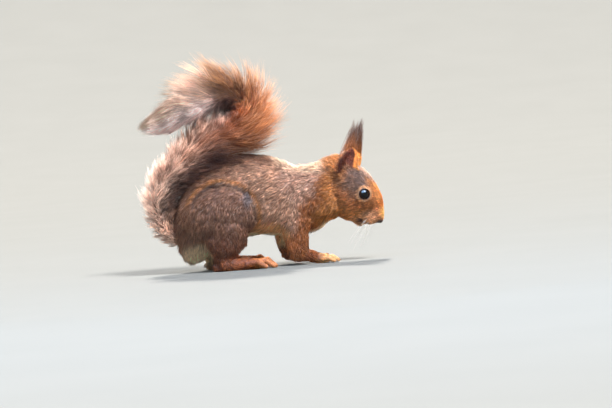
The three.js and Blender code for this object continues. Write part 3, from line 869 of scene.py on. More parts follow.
def grown(roots, tips, bend_to, widths, colours, uv, rings):
    """Closed three-sided tufts on quadratic curves from root to tip, drawn towards bend_to on the way.

    colours holds a colour for the root, each ring and the tip. Returns points, faces, colours and UVs."""
    count = len(roots)
    shares = np.linspace(0, 1, rings + 2)[:-1]
    span = tips - roots
    out = unit(bend_to - roots)
    across = unit(np.cross(span, out + 1e-4))
    points, tones = [], []
    for ring, s in enumerate(shares):
        middle = (1 - s) ** 2 * roots + 2 * s * (1 - s) * bend_to + s * s * tips
        half = widths[:, None] * (0.34 if ring == 0 else 0.5 * (1 - s) ** 0.45)
        rise = np.cross(across, unit(span))
        for sideways, upward in ((-1, 0), (1, 0), (0, 0.85)):
            points.append(middle + half * (sideways * across + upward * rise))
            tones.append(colours[ring])
    points.append(tips)
    tones.append(colours[-1])
    each = 3 * len(shares) + 1
    points = np.stack(points, 1).reshape(-1, 3)
    tones = np.stack(tones, 1).reshape(-1, 3)

    faces = [(0, 2, 1)]
    for ring in range(rings):
        for k in range(3):
            a, b = 3 * ring + k, 3 * ring + (k + 1) % 3
            faces += [(a, b, b + 3), (a, b + 3, a + 3)]
    faces += [(3 * rings + k, 3 * rings + (k + 1) % 3, each - 1) for k in range(3)]
    faces = np.array(faces)
    u = np.append(np.tile((-0.5, 0.5, 0), len(shares)), 0)
    v = np.append(np.repeat(shares, 3), 1) - 0.5
    patch = BAKE_PATCH * np.stack([u, v], 1)[faces.ravel()]
    faces = (np.arange(count)[:, None] * each + faces.ravel()).reshape(-1, 3)
    maps = np.clip(uv[:, None] + patch, 0, 1).reshape(-1, 2)
    return points, faces, tones, maps


def coat_pieces(name, slot, material, chosen, roots, tips, bend_to, widths, colours, rings=1):
    """The chosen tufts, in as many pieces as the limit on triangles asks for, divided along the body."""
    faces_each = 4 + 6 * rings
    parts = math.ceil(chosen.sum() * faces_each / PIECE_LIMIT)
    numbers = np.flatnonzero(chosen)
    order = numbers[np.argsort(roots.points[numbers, 0], kind="stable")]
    for i, group in enumerate(np.array_split(order, parts)):
        starts = roots.points[group] - ROOT_SUNK * roots.normals[group]
        shape = starts, tips[group], bend_to[group], widths[group], [c[group] for c in colours]
        points, faces, tones, maps = grown(*shape, roots.uv[group], rings)
        label = name if parts == 1 else f"{name}_{i + 1}"
        piece = made_mesh(label, points, faces, colours={"pelt": tones}, uv=maps)
        finished(piece, material)


def finished(piece, material):
    """A piece with its material, riding on the one body."""
    piece.data.materials.append(material)
    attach(piece, "root")


LOCK_SIZE = 9  # tufts drawn together into one lock
LOCK_DRAWN = 0.75  # how far a tuft may be drawn to the middle of its lock
LENGTHS, WIDTHS = (0.72, 1.12), (0.75, 1.25)  # how tufts vary, as shares of the size laid down for a place
SHORT_COVER, LONG_COVER = 3.2, 5.9  # times the tufts of a short coat and of a long one cover the skin
COVER_ON_FEET = 0.72
TIP_OVER_FLOOR, BEND_OVER_FLOOR = 0.15, 0.2  # no tuft reaches lower
EYE_CLEAR = 5.0  # no hair crosses an eye within this distance of its axis


def body_coat(surface, material):
    """Tufts over the head, body and limbs."""
    way, size = lie_at(surface.middles)
    cover = mix(LONG_COVER, SHORT_COVER, smoothstep(-size[:, 0], -5, -3))
    per_area = cover / (size[:, 0] * size[:, 1])
    per_area = per_area * mix(COVER_ON_FEET, 1, smoothstep(surface.middles[:, 2], 7, 12))
    per_area = per_area * (tail_place(surface.middles)[2] == 0) * (1 - bare(surface.middles))
    per_area = per_area * (surface.middles[:, 2] > 0.6)
    roots = surface.scatter(per_area)
    points, normals = roots.points, roots.normals
    way, size = lie_at(points)
    length, width, lift = size.T
    length = length * rng.uniform(*LENGTHS, len(roots))
    width = width * rng.uniform(*WIDTHS, len(roots))
    stray = 0.16 * wandering(points, 4.5, 3) + 0.10 * wandering(points, 1.5, 4)
    stray = stray + 0.09 * rng.normal(size=(len(roots), 3))
    way = unit(way + stray)
    way = unit(way - (way * normals).sum(1, keepdims=True) * normals * 0.92)
    lift = np.radians(lift) * (1 + 0.35 * wandering(points, 3.0, 5)[:, 0] + 0.2 * rng.normal(size=len(roots)))
    lift = np.clip(lift, 0.05, 0.9)[:, None]
    rising = way * np.cos(lift) + normals * np.sin(lift)
    settling = way * np.cos(lift / 3) + normals * np.sin(lift / 3)
    bend_to = points + rising * length[:, None] * 0.5
    tips = bend_to + settling * length[:, None] * 0.5
    outward, from_axis = eye_axes(tips)
    clear = (from_axis > EYE_CLEAR) | (outward < 0) | (outward > 12)
    roots = roots.at(clear)
    tips, bend_to, length, width = (values[clear] for values in (tips, bend_to, length, width))
    points = roots.points
    clump = nearest_of(points, len(roots) // LOCK_SIZE)
    drawn = LOCK_DRAWN * rng.random((len(roots), 1)) * smoothstep(length, 2.5, 6)[:, None]
    tips = mix(tips, tips[clump], drawn)
    tips[:, 2] = np.maximum(tips[:, 2], TIP_OVER_FLOOR)
    bend_to[:, 2] = np.maximum(bend_to[:, 2], BEND_OVER_FLOOR)

    base = pelt(mix(points, tips, 0.35))
    one, lock = np.clip(rng.normal(size=(2, len(roots), 1)), -2, 1.7)
    one_share = mix(0.46, 0.26, smoothstep(length, 2, 5))[:, None]
    lock_share = mix(0.34, 0.17, smoothstep(length, 2.5, 6))[:, None]
    tone = np.exp(one_share * one + lock_share * lock[clump])
    agouti = smoothstep(length, 4, 8)[:, None]
    tipped = rng.random((len(roots), 1))
    # Tips are paler than the middles: partly the hair's own paler tips, partly a painted glow of backlit
    # hair. The buff and dark tips of a few tufts are the hair's own banding.
    tip = mix(base * 1.4, PELT["buff"], 0.3 * agouti * (tipped > 0.65))
    tip = mix(tip, PELT["dark"], 0.55 * agouti * (tipped < 0.16))
    pale = smoothstep(base[:, :1], 0.6, 0.9) * (points[:, 2:] < 40)
    tip = mix(tip, base, pale)
    root_shade = mix(mix(0.62, 0.34, agouti), 0.9, pale)
    colours = [base * tone * root_shade, base * tone, tip * tone]

    along, _, _ = face_axes(*points.T)
    on_head = (along > -4) & (points[:, 0] > 60) | (points[:, 2] > 92) & (points[:, 0] > 62)
    on_foot = (points[:, 2] < 11) & (length < 3.2) & ~on_head
    neck = ~on_head & ~on_foot & (points[:, 0] > 46)
    trunk = ~on_head & ~on_foot & ~neck
    parts = [("coat_head", "coat_rufous", on_head), ("coat_neck", "coat_rufous", neck)]
    for side, sign in SIDES.items():
        on_side = points[:, 1] * sign > 0
        parts.append((f"coat_body_{side}", "coat_brown", trunk & on_side))
        parts.append((f"coat_feet_{side}", "foot", on_foot & on_side))
    for name, slot, mask in parts:
        coat_pieces(name, slot, material, mask, roots, tips, bend_to, width, colours)


# ---------------------------------------------------------------- tail
TAIL_HAIR_START = 0.5 * TAIL_STEPS
TAIL_COUNT = 26_000  # hairs
TAIL_CLUMPS = 1_700  # locks they gather into
TAIL_WISPS = 500  # larger wisps near its tip
TAIL_HAIR_WIDTH = (0.34, 0.60)
TAIL_DRAWN = 0.8  # how far a hair may be drawn to the middle of its lock
# How far the hairs lean towards the tail's tip, as a share of their reach, station by station.
TAIL_LEAN = (0.5, 0.5, 0.55, 0.7, 0.75, 0.7, 0.6, 0.5, 0.25, 0.2, 0.4, 0.65, 0.95, 1.2, 1.3, 1.3)


def tail_place(points):
    """Place along the tail's line, angle round it from above, and whether points are on the tail."""
    low, high = TAIL_LINE.min(0) - 9, TAIL_LINE.max(0) + 9
    near = np.flatnonzero(((points > low) & (points < high)).all(1) & (np.abs(points[:, 1]) < 9))
    step, angle, on_tail = np.zeros(len(points)), np.zeros(len(points)), np.zeros(len(points), int)
    away = ((points[near, None] - TAIL_LINE) ** 2).sum(2)
    nearest = away.argmin(1)
    offset = points[near] - TAIL_LINE[nearest]
    step[near] = nearest / TAIL_STEPS
    angle[near] = np.arctan2(offset[:, 1], (offset * TAIL_ABOVE[nearest]).sum(1))
    close = np.sqrt(away.min(1)) < TAIL_RADIUS[nearest] + 1.5
    on_tail[near] = close & (nearest > TAIL_HAIR_START)
    return step, angle, on_tail


def tail_reach(step, angle):
    """How far the coat reaches from the tail's line, at an angle round it.

    It reaches further than the solids below the rise, where it nestles on the back, and inside the bend."""
    above, below, beside = catmull_rom(TAIL[:, 2:], step).T
    c, s = np.cos(angle), np.sin(angle)
    nestled = 1 + 0.9 * about(step, 3.2, 3.2, 1.6)
    nestled = nestled + 0.8 * about(step, 5.8, 1.8, 0.6)
    filled = 1 + 0.62 * about(step, 8.3, 3.8, 1.8)
    upright = np.where(c > 0, above * filled, below * nestled)
    return 1 / np.sqrt((c / upright) ** 2 + (s / beside) ** 2)


# Colours of the tail's hairs: station, root, middle, and the tips above the bone line, beside it and below.
# Pale tips are partly the hair's own and partly a painted glow of backlit hair; the darkest colours are
# painted shade.
TAIL_HUES = [
    (0, (0.24, 0.12, 0.08), (0.66, 0.38, 0.27), (0.96, 0.70, 0.56), (0.82, 0.54, 0.42), (0.50, 0.20, 0.07)),
    # Tips below the rise are painted shade, where the tail lies over the back.
    (2.5, (0.50, 0.30, 0.23), (0.88, 0.58, 0.46), (0.99, 0.80, 0.70),
     (0.94, 0.68, 0.56), (0.10, 0.03, 0.010)),
    # Dark roots, middles and lower tips here are painted shade between the rise and the back.
    (5.5, (0.13, 0.045, 0.02), (0.33, 0.13, 0.07), (0.84, 0.53, 0.41),
     (0.42, 0.18, 0.10), (0.09, 0.025, 0.010)),
    (7, (0.20, 0.045, 0.01), (0.38, 0.10, 0.022), (0.74, 0.53, 0.46),
     (0.40, 0.10, 0.018), (0.62, 0.27, 0.11)),
    # Dark tips above the line here are painted shade inside the bend.
    (8.3, (0.20, 0.045, 0.01), (0.44, 0.12, 0.026), (0.10, 0.05, 0.04),
     (0.46, 0.13, 0.026), (0.64, 0.30, 0.12)),
    # Dark hair here is painted shadow on the inner side of the bend.
    (9.2, (0.05, 0.025, 0.018), (0.18, 0.075, 0.04), (0.07, 0.035, 0.03),
     (0.14, 0.06, 0.04), (0.64, 0.28, 0.09)),
    (9.9, (0.05, 0.025, 0.018), (0.20, 0.10, 0.07), (0.08, 0.04, 0.035),
     (0.20, 0.10, 0.08), (0.66, 0.31, 0.11)),
    (10.8, (0.80, 0.58, 0.56), (0.98, 0.78, 0.76), (0.82, 0.60, 0.58),
     (0.99, 0.84, 0.82), (0.90, 0.56, 0.32)),
    (15, (0.90, 0.70, 0.64), (0.98, 0.83, 0.78), (0.96, 0.72, 0.66), (0.99, 0.82, 0.77), (0.99, 0.80, 0.66)),
]


def tail_colours(step, angle):
    """Colours of the root, middle and tip of tail hairs."""
    places = [row[0] for row in TAIL_HUES]
    hues = np.array([row[1:] for row in TAIL_HUES]).reshape(len(places), -1)
    values = np.stack([np.interp(step, places, hues[:, k]) for k in range(hues.shape[1])], 1)
    root, middle, above, beside, below = np.split(values, 5, axis=1)
    high = smoothstep(np.cos(angle), 0.1, 0.6)[:, None]
    low = smoothstep(-np.cos(angle), -0.1, 0.6)[:, None]
    tip = mix(mix(beside, above, high), below, low)
    shaded = 1 - 0.8 * low * about(step, 3.6, 3, 2)[:, None]
    root, middle = root * shaded, middle * shaded
    return root, mix(middle, tip, 0.3 * high), tip


def tail_coat(surface, material):
    """Long hairs from the tail's flesh out to its bushy outline, leaning towards its tip."""
    step, angle, on_tail = tail_place(surface.middles)
    reach = tail_reach(step, angle)
    per_area = on_tail * reach / TAIL_RADIUS[(step * TAIL_STEPS).astype(int)]
    per_area *= TAIL_COUNT / (per_area * surface.areas).sum()
    roots = surface.scatter(per_area)
    n = len(roots)
    step, angle, _ = tail_place(roots.points)
    share = np.where(rng.random(n) < 0.6, rng.uniform(0.86, 1.20, n), rng.uniform(0.4, 0.95, n))
    stray = wandering(roots.points, 5, 8)
    share = share * (1 + 0.07 * stray[:, 2])
    lean = np.interp(step, range(len(TAIL)), TAIL_LEAN) * (1 + 0.3 * stray[:, 1] + rng.normal(0, 0.22, n))
    outer_rise = smoothstep(np.cos(angle), 0, 0.7) * about(step, 3, 3.4, 2)
    lean = lean * (1 - 0.45 * outer_rise)
    long_ones = (rng.random(n) < 0.12) * rng.uniform(0.05, 0.22, n)
    share = share * (1 + long_ones * outer_rise)
    wisp = smoothstep(step, 10.5, 13) * rng.normal(0, 1, n)[nearest_of(roots.points, TAIL_WISPS)]
    share = share * np.clip(1 + 0.10 * wisp, 0.7, 1.3)
    lean = lean * np.clip(1 + 0.20 * wisp, 0.6, 1.4)
    turn = angle + 0.22 * stray[:, 0] + rng.normal(0, 0.2, n)
    run = np.interp(step * TAIL_STEPS, range(len(TAIL_RUN)), TAIL_RUN)
    first_reach = tail_reach(step, turn)
    end_run = run + lean * first_reach * share
    past_tip = np.maximum(end_run - TAIL_LENGTH, 0)
    end = np.interp(end_run, TAIL_RUN, range(len(TAIL_RUN)))
    end_reach = np.minimum(tail_reach(end / TAIL_STEPS, turn), 1.25 * first_reach + 4)
    end_reach = np.maximum(end_reach, mix(1.0, 6.0, rng.random(n)))
    at = end.astype(int)
    spread = np.cos(turn)[:, None] * TAIL_ABOVE[at] + np.sin(turn)[:, None] * TAIL_BESIDE
    centre = TAIL_LINE[at] + TAIL_ALONG[at] * (rng.uniform(0, 7, n) * np.tanh(past_tip / 6))[:, None]
    tips = centre + spread * (end_reach * share)[:, None]
    start = (step * TAIL_STEPS).astype(int)
    span = np.linalg.norm(tips - roots.points, axis=1, keepdims=True)
    bend_to = roots.points + span * (0.46 * roots.normals + 0.12 * TAIL_ALONG[start])
    clump = nearest_of(roots.points, TAIL_CLUMPS)
    drawn = TAIL_DRAWN * rng.random((n, 1))
    tips = mix(tips, tips[clump] + 0.30 * (roots.points - roots.points[clump]), drawn)
    width = rng.uniform(*TAIL_HAIR_WIDTH, n)
    tone = np.exp(0.16 * rng.normal(size=(n, 1)) + 0.24 * rng.normal(size=(n, 1))[clump])
    root, middle, tip = tail_colours(step, turn)
    hues = [root, mix(root, middle, 0.7), mix(middle, tip, 0.3), mix(middle, tip, share[:, None])]
    colours = [hue * tone for hue in hues]
    for side, sign in SIDES.items():
        on_side = roots.points[:, 1] * sign > 0
        args = on_side, roots, tips, bend_to, width, colours
        coat_pieces(f"coat_tail_{side}", "coat_tail", material, *args, rings=2)


EAR_STRANDS = {"right": (9.6, 14.0), "left": (11.0, 12.6)}  # how far forward each strand ends
EAR_BRUSH_TOP = 121
EAR_TUFT_HAIRS = 280
EAR_HAIR_WIDTH = (0.30, 0.48)


def ear_tufts(surface, material):
    """The long dark brush at the tip of each ear, its hairs gathered into a few strands."""
    rufous, dark = PELT["rufous"], PELT["dark"]
    for side in SIDES:
        forward, out = ear_axes(*surface.middles.T, side)
        near = (np.abs(out) < 6) & (np.abs(forward - 2) < 11) & (surface.middles[:, 2] > 85)
        roots = surface.scatter(near * EAR_TUFT_HAIRS / max((near * surface.areas).sum(), 1))
        n = len(roots)
        strand = rng.integers(0, 2, n)
        top = np.array(EAR_STRANDS[side])[strand] + rng.normal(0, 0.3, n)
        height = EAR_BRUSH_TOP + rng.normal(0, 1.0, n) - 1.2 * strand
        target = by_ear(top, 1.3 + rng.normal(0, 0.4, n), height, side)
        share = (0.25 + 0.75 * rng.random(n) ** 0.55)[:, None]
        gathered = share ** np.array([0.5, 0.5, 1])
        tips = mix(roots.points, target, gathered) + (1 - share) * rng.normal(0, 0.8, (n, 3))
        upright = np.stack([-0.06 * (tips[:, 2] - roots.points[:, 2]), np.zeros(n), np.zeros(n)], 1)
        bend_to = mix(roots.points, tips, 0.5) + upright + 0.8 * roots.normals
        width = rng.uniform(*EAR_HAIR_WIDTH, n)
        tone = np.exp(0.3 * rng.normal(size=(n, 1)))
        high = smoothstep(tips[:, 2:], 86, 102)
        colours = [mix(rufous, dark, share_dark * high) * tone for share_dark in (0, 0.25, 0.8, 1)]
        args = np.ones(n, bool), roots, tips, bend_to, width, colours
        coat_pieces(f"ear_tuft_{side}", "ear", material, *args, rings=2)


# ---------------------------------------------------------------- materials
def new_material(name, roughness, specular=0.5, **constants):
    """A Principled material, with its nodes and links to hand."""
    material = bpy.data.materials.new(name)
    material.use_nodes = True
    shader = material.node_tree.nodes["Principled BSDF"]
    shader.inputs["Roughness"].default_value = roughness
    shader.inputs["Specular IOR Level"].default_value = specular
    for key, value in constants.items():
        shader.inputs[key.replace("_", " ")].default_value = value
    return material, material.node_tree, shader


def feed(tree, socket, value):
    """Give a socket its value, which may be another node's output."""
    if isinstance(value, bpy.types.NodeSocket):
        tree.links.new(value, socket)
    else:
        socket.default_value = value


def node(tree, kind, inputs=None, **settings):
    """A node with its settings and inputs."""
    made = tree.nodes.new(kind)
    for key, value in settings.items():
        setattr(made, key, value)
    for key, value in (inputs or {}).items():
        feed(tree, made.inputs[key], value)
    return made


def kept(tree, key, output="Color"):
    """What the mesh keeps under this key."""
    return node(tree, "ShaderNodeAttribute", attribute_name=key).outputs[output]


def noise(tree, scale, detail=3.0, stretch=(1, 1, 1), distortion=0.0):
    """Noise over the object's own coordinates, as a factor."""
    place = node(tree, "ShaderNodeTexCoord").outputs["Object"]
    place = node(tree, "ShaderNodeMapping", {"Vector": place, "Scale": stretch}).outputs["Vector"]
    inputs = {"Vector": place, "Scale": scale, "Detail": detail, "Distortion": distortion}
    return node(tree, "ShaderNodeTexNoise", inputs).outputs["Fac"]


def between(tree, factor, low, high):
    """A value that runs from low to high as the factor does."""
    inputs = {"Value": factor, "To Min": low, "To Max": high}
    return node(tree, "ShaderNodeMapRange", inputs).outputs["Result"]


def blended(tree, kind, factor, a, b):
    """Colour a blended with b. A Mix node's colour sockets are found by number, as their names repeat."""
    inputs = {0: factor, 6: a, 7: b}
    return node(tree, "ShaderNodeMix", inputs, data_type="RGBA", blend_type=kind).outputs[2]


def bumped(tree, shader, height, strength, distance):
    """Bump on a shader, its height in metres."""
    inputs = {"Height": height, "Strength": strength, "Distance": distance}
    tree.links.new(node(tree, "ShaderNodeBump", inputs).outputs["Normal"], shader.inputs["Normal"])


def coat_material(name, roughness, sheen):
    """Hair: its painted colour, with flecks finer than a tuft."""
    material, tree, shader = new_material(name, roughness, 0.14, Sheen_Weight=sheen, Sheen_Roughness=0.4)
    colour = kept(tree, "pelt")
    flecks = between(tree, noise(tree, 900), 0.78, 1.22)
    patches = between(tree, noise(tree, 120, 2), 0.85, 1.15)
    colour = blended(tree, "MULTIPLY", 1.0, colour, flecks)
    colour = blended(tree, "MULTIPLY", 1.0, colour, patches)
    tree.links.new(colour, shader.inputs["Base Color"])
    uneven = between(tree, noise(tree, 400), roughness - 0.08, roughness + 0.1)
    tree.links.new(uneven, shader.inputs["Roughness"])
    bumped(tree, shader, noise(tree, 2600, 2), 0.25, 0.0001)
    return material


def skin_material():
    """Short fur as bump in the coat's own colours, and bare skin on the nose, lips and lids."""
    material, tree, shader = new_material("skin", 0.7, 0.35)
    pelt_colour = kept(tree, "pelt")
    bald = kept(tree, "bare", "Fac")
    fibres = noise(tree, 700, 4, (0.5, 1, 1), 0.6)
    colour = blended(tree, "MULTIPLY", 1.0, pelt_colour, between(tree, fibres, 0.45, 1.05))
    leather = node(tree, "ShaderNodeTexVoronoi", {"Scale": 1900.0}).outputs["Distance"]
    hide = blended(tree, "MIX", noise(tree, 500), (0.035, 0.018, 0.014, 1), (0.075, 0.040, 0.032, 1))
    tree.links.new(blended(tree, "MIX", bald, colour, hide), shader.inputs["Base Color"])
    tree.links.new(between(tree, bald, 0.75, 0.36), shader.inputs["Roughness"])
    height = blended(tree, "MIX", bald, fibres, leather)
    bumped(tree, shader, height, 0.5, 0.0002)
    return material


def eye_material():
    """A dark brown iris round a wide pupil, under a wet cornea."""
    material, tree, shader = new_material("eye", 0.04, 0.28)
    ring = kept(tree, "iris", "Fac")
    streaks = noise(tree, 900, 3, (1, 1, 1), 1.0)
    brown = blended(tree, "MIX", streaks, (0.012, 0.006, 0.004, 1), (0.05, 0.022, 0.010, 1))
    colour = blended(tree, "MIX", ring, (0.003, 0.003, 0.004, 1), brown)
    tree.links.new(colour, shader.inputs["Base Color"])
    return material


def horn_material():
    material, tree, shader = new_material("claw_horn", 0.35, 0.5)
    growth = noise(tree, 600, 3, (0.3, 1, 1))
    colour = blended(tree, "MIX", growth, (0.10, 0.055, 0.035, 1), (0.30, 0.20, 0.14, 1))
    tree.links.new(colour, shader.inputs["Base Color"])
    tree.links.new(between(tree, growth, 0.3, 0.45), shader.inputs["Roughness"])
    bumped(tree, shader, growth, 0.2, 0.0001)
    return material


def whisker_material():
    material, tree, shader = new_material("whisker", 0.35, 0.5)
    tone = noise(tree, 300, 2)
    colour = blended(tree, "MIX", tone, (0.75, 0.68, 0.60, 1), (0.92, 0.88, 0.82, 1))
    tree.links.new(colour, shader.inputs["Base Color"])
    return material


# ---------------------------------------------------------------- eyes, claws and whiskers
def tube_faces(rings, sides):
    """Triangles between rings of points, closed by one point before the first ring and one after the last.

    Those two points come after the rings."""
    faces = []
    last, start, end = (rings - 1) * sides, rings * sides, rings * sides + 1
    for k in range(sides):
        n = (k + 1) % sides
        for ring in range(0, last, sides):
            a, b = ring + k, ring + n
            faces += [(a, b, b + sides), (a, b + sides, a + sides)]
        faces += [(n, k, start), (last + k, last + n, end)]
    return np.array(faces)


def swept(path, radii, sides):
    """A closed round tube along a path, with a radius at each point."""
    path, radii = np.asarray(path, float), np.asarray(radii, float)
    along = unit(np.gradient(path, axis=0))
    reference = np.array([0.3, 0.9, 0.3]) if abs(along[0][1]) < 0.8 else np.array([1.0, 0.2, 0.1])
    u = unit(np.cross(along, reference))
    v = np.cross(along, u)
    turns = np.linspace(0, 2 * math.pi, sides, endpoint=False)
    rings = path[:, None] + radii[:, None, None] * (
        np.cos(turns)[None, :, None] * u[:, None] + np.sin(turns)[None, :, None] * v[:, None]
    )
    points = np.concatenate([rings.reshape(-1, 3), path[:1], path[-1:]])
    return points, tube_faces(len(path), sides)


def joined(parts):
    """Meshes from swept(), as one."""
    points, faces, start = [], [], 0
    for part_points, part_faces in parts:
        points.append(part_points)
        faces.append(part_faces + start)
        start += len(part_points)
    return np.concatenate(points), np.concatenate(faces)


CORNEA_RISE = 0.18
CORNEA_REACH = 0.62  # angle from the eye's axis at which the cornea and the iris end


def make_eye(side, sign, material):
    """An eyeball with its cornea standing a little proud of it."""
    look = face_direction(EYE_LOOK[0], EYE_LOOK[1], sign * EYE_LOOK[2])
    centre = on_face(EYE_ON_FACE[0], EYE_ON_FACE[1], sign * EYE_ON_FACE[2])
    columns, rows = 64, 40
    polar = np.linspace(0, math.pi, rows + 1)[1:-1]
    turns = np.linspace(0, 2 * math.pi, columns, endpoint=False)
    bulge = CORNEA_RISE * np.exp(-((polar / CORNEA_REACH) ** 4))
    u = unit(np.cross(look, (0, 0, 1)))
    v = np.cross(u, look)
    radius = (EYE_RADIUS + bulge)[:, None, None]
    ring = np.cos(turns)[None, :, None] * u + np.sin(turns)[None, :, None] * v
    body = radius * (np.cos(polar)[:, None, None] * look + np.sin(polar)[:, None, None] * ring)
    ends = np.stack([look * (EYE_RADIUS + bulge[0]), -look * EYE_RADIUS])
    points = np.concatenate([body.reshape(-1, 3), ends]) + centre
    iris = np.append(np.repeat(smoothstep(polar, CORNEA_REACH, CORNEA_REACH + 0.1), columns), (0, 1))
    faces = tube_faces(rows - 1, columns)[:, ::-1]
    eye = made_mesh(f"eyeball_{side}", points, faces, colours={"iris": iris[:, None]})
    finished(eye, material)
    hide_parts(f"eye_{side}")


CLAW_SUNK = 1.3  # length of a claw inside its toe
CLAW_BASE = 0.25  # points of a claw's solid this near its back end are its base


def make_claws(which, side, material):
    """The claws of one foot: curved, tapering horns where the solids have theirs."""
    nodes = sorted(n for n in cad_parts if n.startswith(f"claw_{which}_{side}_"))
    parts = []
    for name in nodes:
        points, _ = node_mesh(name)
        middle = points.mean(0)
        heading = np.linalg.svd(points - middle, full_matrices=False)[2][0]
        heading = heading * np.sign(heading[0])
        place = (points - middle) @ heading
        at_base = points[place < place.min() + CLAW_BASE]
        base, tip = at_base.mean(0), points[place.argmax()]
        thick = np.ptp(at_base[:, 2]) / 2
        shares = np.linspace(0, 1, 9)[:, None]
        arch = base + heading * 0.55 * np.linalg.norm(tip - base) + np.array([0, 0, 0.5 * thick])
        start = base - heading * CLAW_SUNK
        path = (1 - shares) ** 2 * start + 2 * shares * (1 - shares) * arch + shares**2 * tip
        radii = 0.92 * thick * (1 - 0.93 * shares[:, 0] ** 1.4)
        parts.append(swept(path, radii, 10))
    claws = made_mesh(f"claws_{which}_{side}", *joined(parts))
    finished(claws, material)
    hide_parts(*nodes)


WHISKER_ROWS, WHISKER_COLUMNS = 3, 3
WHISKER_LENGTH = 25
WHISKER_RADIUS = 0.07
WHISKER_SUNK = 1.2
WHISKER_DROOP = np.array([-0.12, 0, -0.42])  # how far the tip falls away, in shares of the length


def make_whiskers(side, sign, material):
    """Long bristles from the whisker pad, drooping towards their tips."""
    parts = []
    for row in range(WHISKER_ROWS):
        for column in range(WHISKER_COLUMNS):
            start = on_face(41.8 + 2.4 * column, -4.5 - 2.2 * row, sign * (7.2 - 0.6 * column))
            length = (WHISKER_LENGTH - 3.0 * column) * rng.uniform(0.75, 1.05)
            way = face_direction(0.05 + 0.12 * column, -0.85 - 0.1 * row, sign * (0.6 - 0.1 * row))
            way = unit(way + 0.06 * rng.normal(size=3))
            shares = np.linspace(0, 1, 12)[:, None]
            path = start + way * (length * shares - WHISKER_SUNK) + WHISKER_DROOP * length * shares**2
            parts.append(swept(path, WHISKER_RADIUS * (1 - 0.75 * shares[:, 0]), 5))
    whiskers = made_mesh(f"whiskers_{side}", *joined(parts))
    finished(whiskers, material)


# ---------------------------------------------------------------- making it
skin = made_skin()
surface = SkinSurface(skin)
add_colours(skin.data, "pelt", pelt(surface.points))
add_colours(skin.data, "bare", bare(surface.points)[:, None])
finished(skin, skin_material())
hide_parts(*TRUNK, *LEGS, *FEET, *EARS, *TAIL_NODES)

FUR = coat_material("fur", 0.6, 0.15)
body_coat(surface, FUR)
tail_coat(surface, coat_material("tail_fur", 0.6, 0.2))
ear_tufts(surface, FUR)

EYE_GLOSS, HORN, WHISKER = eye_material(), horn_material(), whisker_material()
for side, sign in SIDES.items():
    make_eye(side, sign, EYE_GLOSS)
    make_whiskers(side, sign, WHISKER)
    for which in ("hind", "fore"):
        make_claws(which, side, HORN)


# ---------------------------------------------------------------- stage, light and camera
FLOOR_RADIUS = 3400
WALL_BEND = 7000  # radius of the curve from the floor up into the wall
WALL_TOP = 7600
STAGE_SIDES = 96


def make_stage():
    """A wide pale floor that turns up into a plain wall all round, and throws no shadow."""
    profile = [(0.01, 0), (FLOOR_RADIUS / 2, 0)]
    for a in np.linspace(0, math.pi / 2, 17):
        profile.append((FLOOR_RADIUS + WALL_BEND * math.sin(a), WALL_BEND * (1 - math.cos(a))))
    profile.append((FLOOR_RADIUS + WALL_BEND, WALL_TOP))
    n = len(profile)
    turns = np.linspace(0, 2 * math.pi, STAGE_SIDES, endpoint=False)
    points = np.array([(r * math.cos(t), r * math.sin(t), z) for t in turns for r, z in profile])
    faces = []
    for k in range(STAGE_SIDES):
        here, there = k * n, (k + 1) % STAGE_SIDES * n
        faces += [(here + i, there + i, there + i + 1, here + i + 1) for i in range(n - 1)]
    stage = made_mesh("studio_floor", points, np.array(faces))
    stage.visible_shadow = False
    material, tree, shader = new_material("studio", 0.9, 0.2)
    grain = noise(tree, 8, 2)
    colour = blended(tree, "MIX", grain, (0.172, 0.175, 0.169, 1), (0.186, 0.189, 0.183, 1))
    tree.links.new(colour, shader.inputs["Base Color"])
    stage.data.materials.append(material)


def window_light(name, place, aim, size, power, colour):
    """A wide window that shows only as a reflection, above all in the eyes."""
    light = bpy.data.lights.new(name, "AREA")
    light.shape = "RECTANGLE"
    (light.size, light.size_y), light.energy, light.color = size, power, colour
    lamp = bpy.data.objects.new(name, light)
    lamp.location = Vector(place)
    lamp.rotation_euler = (Vector(aim) - Vector(place)).to_track_quat("-Z", "Y").to_euler()
    lamp.visible_diffuse = False
    bpy.context.scene.collection.objects.link(lamp)


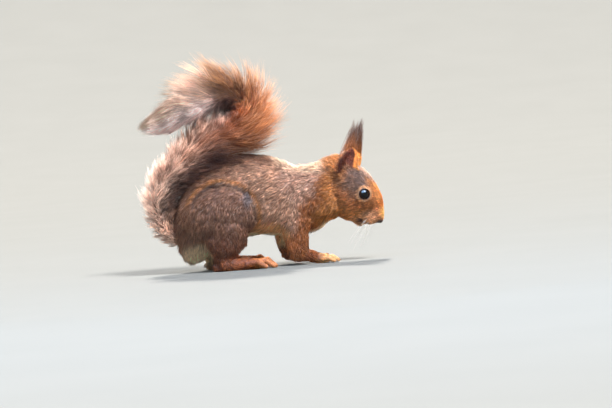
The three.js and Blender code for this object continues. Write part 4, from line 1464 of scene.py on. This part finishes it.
def sun_light(name, azimuth, elevation, strength, softness, colour):
    """A soft far light. Azimuth 0 is the camera's side, and it turns towards +X."""
    light = bpy.data.lights.new(name, "SUN")
    light.energy, light.angle, light.color = strength, math.radians(softness), colour
    a, e = math.radians(azimuth), math.radians(elevation)
    towards = Vector((math.sin(a) * math.cos(e), -math.cos(a) * math.cos(e), math.sin(e)))
    lamp = bpy.data.objects.new(name, light)
    lamp.rotation_euler = towards.to_track_quat("Z", "Y").to_euler()
    bpy.context.scene.collection.objects.link(lamp)


make_stage()
sun_light("key", 36, 55, 6.3, 12, (1, 0.96, 0.90))
sun_light("rim", 184, 50, 6.2, 8, (1, 0.95, 0.88))
window_light("window", (0.06, -0.66, 0.98), (0.08, 0, 0.06), (1.9, 1.1), 175, (0.34, 0.62, 1))
world = bpy.data.worlds.new("studio_air")
world.use_nodes = True
world.node_tree.nodes["Background"].inputs["Color"].default_value = (0.85, 0.92, 1.0, 1)
world.node_tree.nodes["Background"].inputs["Strength"].default_value = 0.62
bpy.context.scene.world = world
bpy.context.scene.view_settings.view_transform = "Standard"

# The view is nearly level, from the animal's right and a long way off, and rolled as the ground sloped.
VIEW_ROLL = math.radians(4.5)
VIEW_HEIGHT = math.radians(2)
VIEW_DISTANCE = 3.0
VIEW_WIDTH = 0.5202  # width of the view at the animal
VIEW_CENTRE = Vector((0.0370, 0, 0.0505))
SENSOR = 36.0  # width in millimetres
roll_c, roll_s = math.cos(VIEW_ROLL), math.sin(VIEW_ROLL)
high_c, high_s = math.cos(VIEW_HEIGHT), math.sin(VIEW_HEIGHT)
right = Vector((roll_c, 0, -roll_s))
back = Vector((roll_s * high_s, -high_c, roll_c * high_s))
upward = back.cross(right)
lens = bpy.data.cameras.new("camera")
lens.sensor_width = SENSOR
lens.lens = SENSOR * VIEW_DISTANCE / VIEW_WIDTH
lens.clip_end = 50
camera = bpy.data.objects.new("camera", lens)
camera.matrix_world = Matrix((right, upward, back)).transposed().to_4x4()
camera.location = VIEW_CENTRE + back * VIEW_DISTANCE
bpy.context.scene.collection.objects.link(camera)
bpy.context.scene.camera = camera
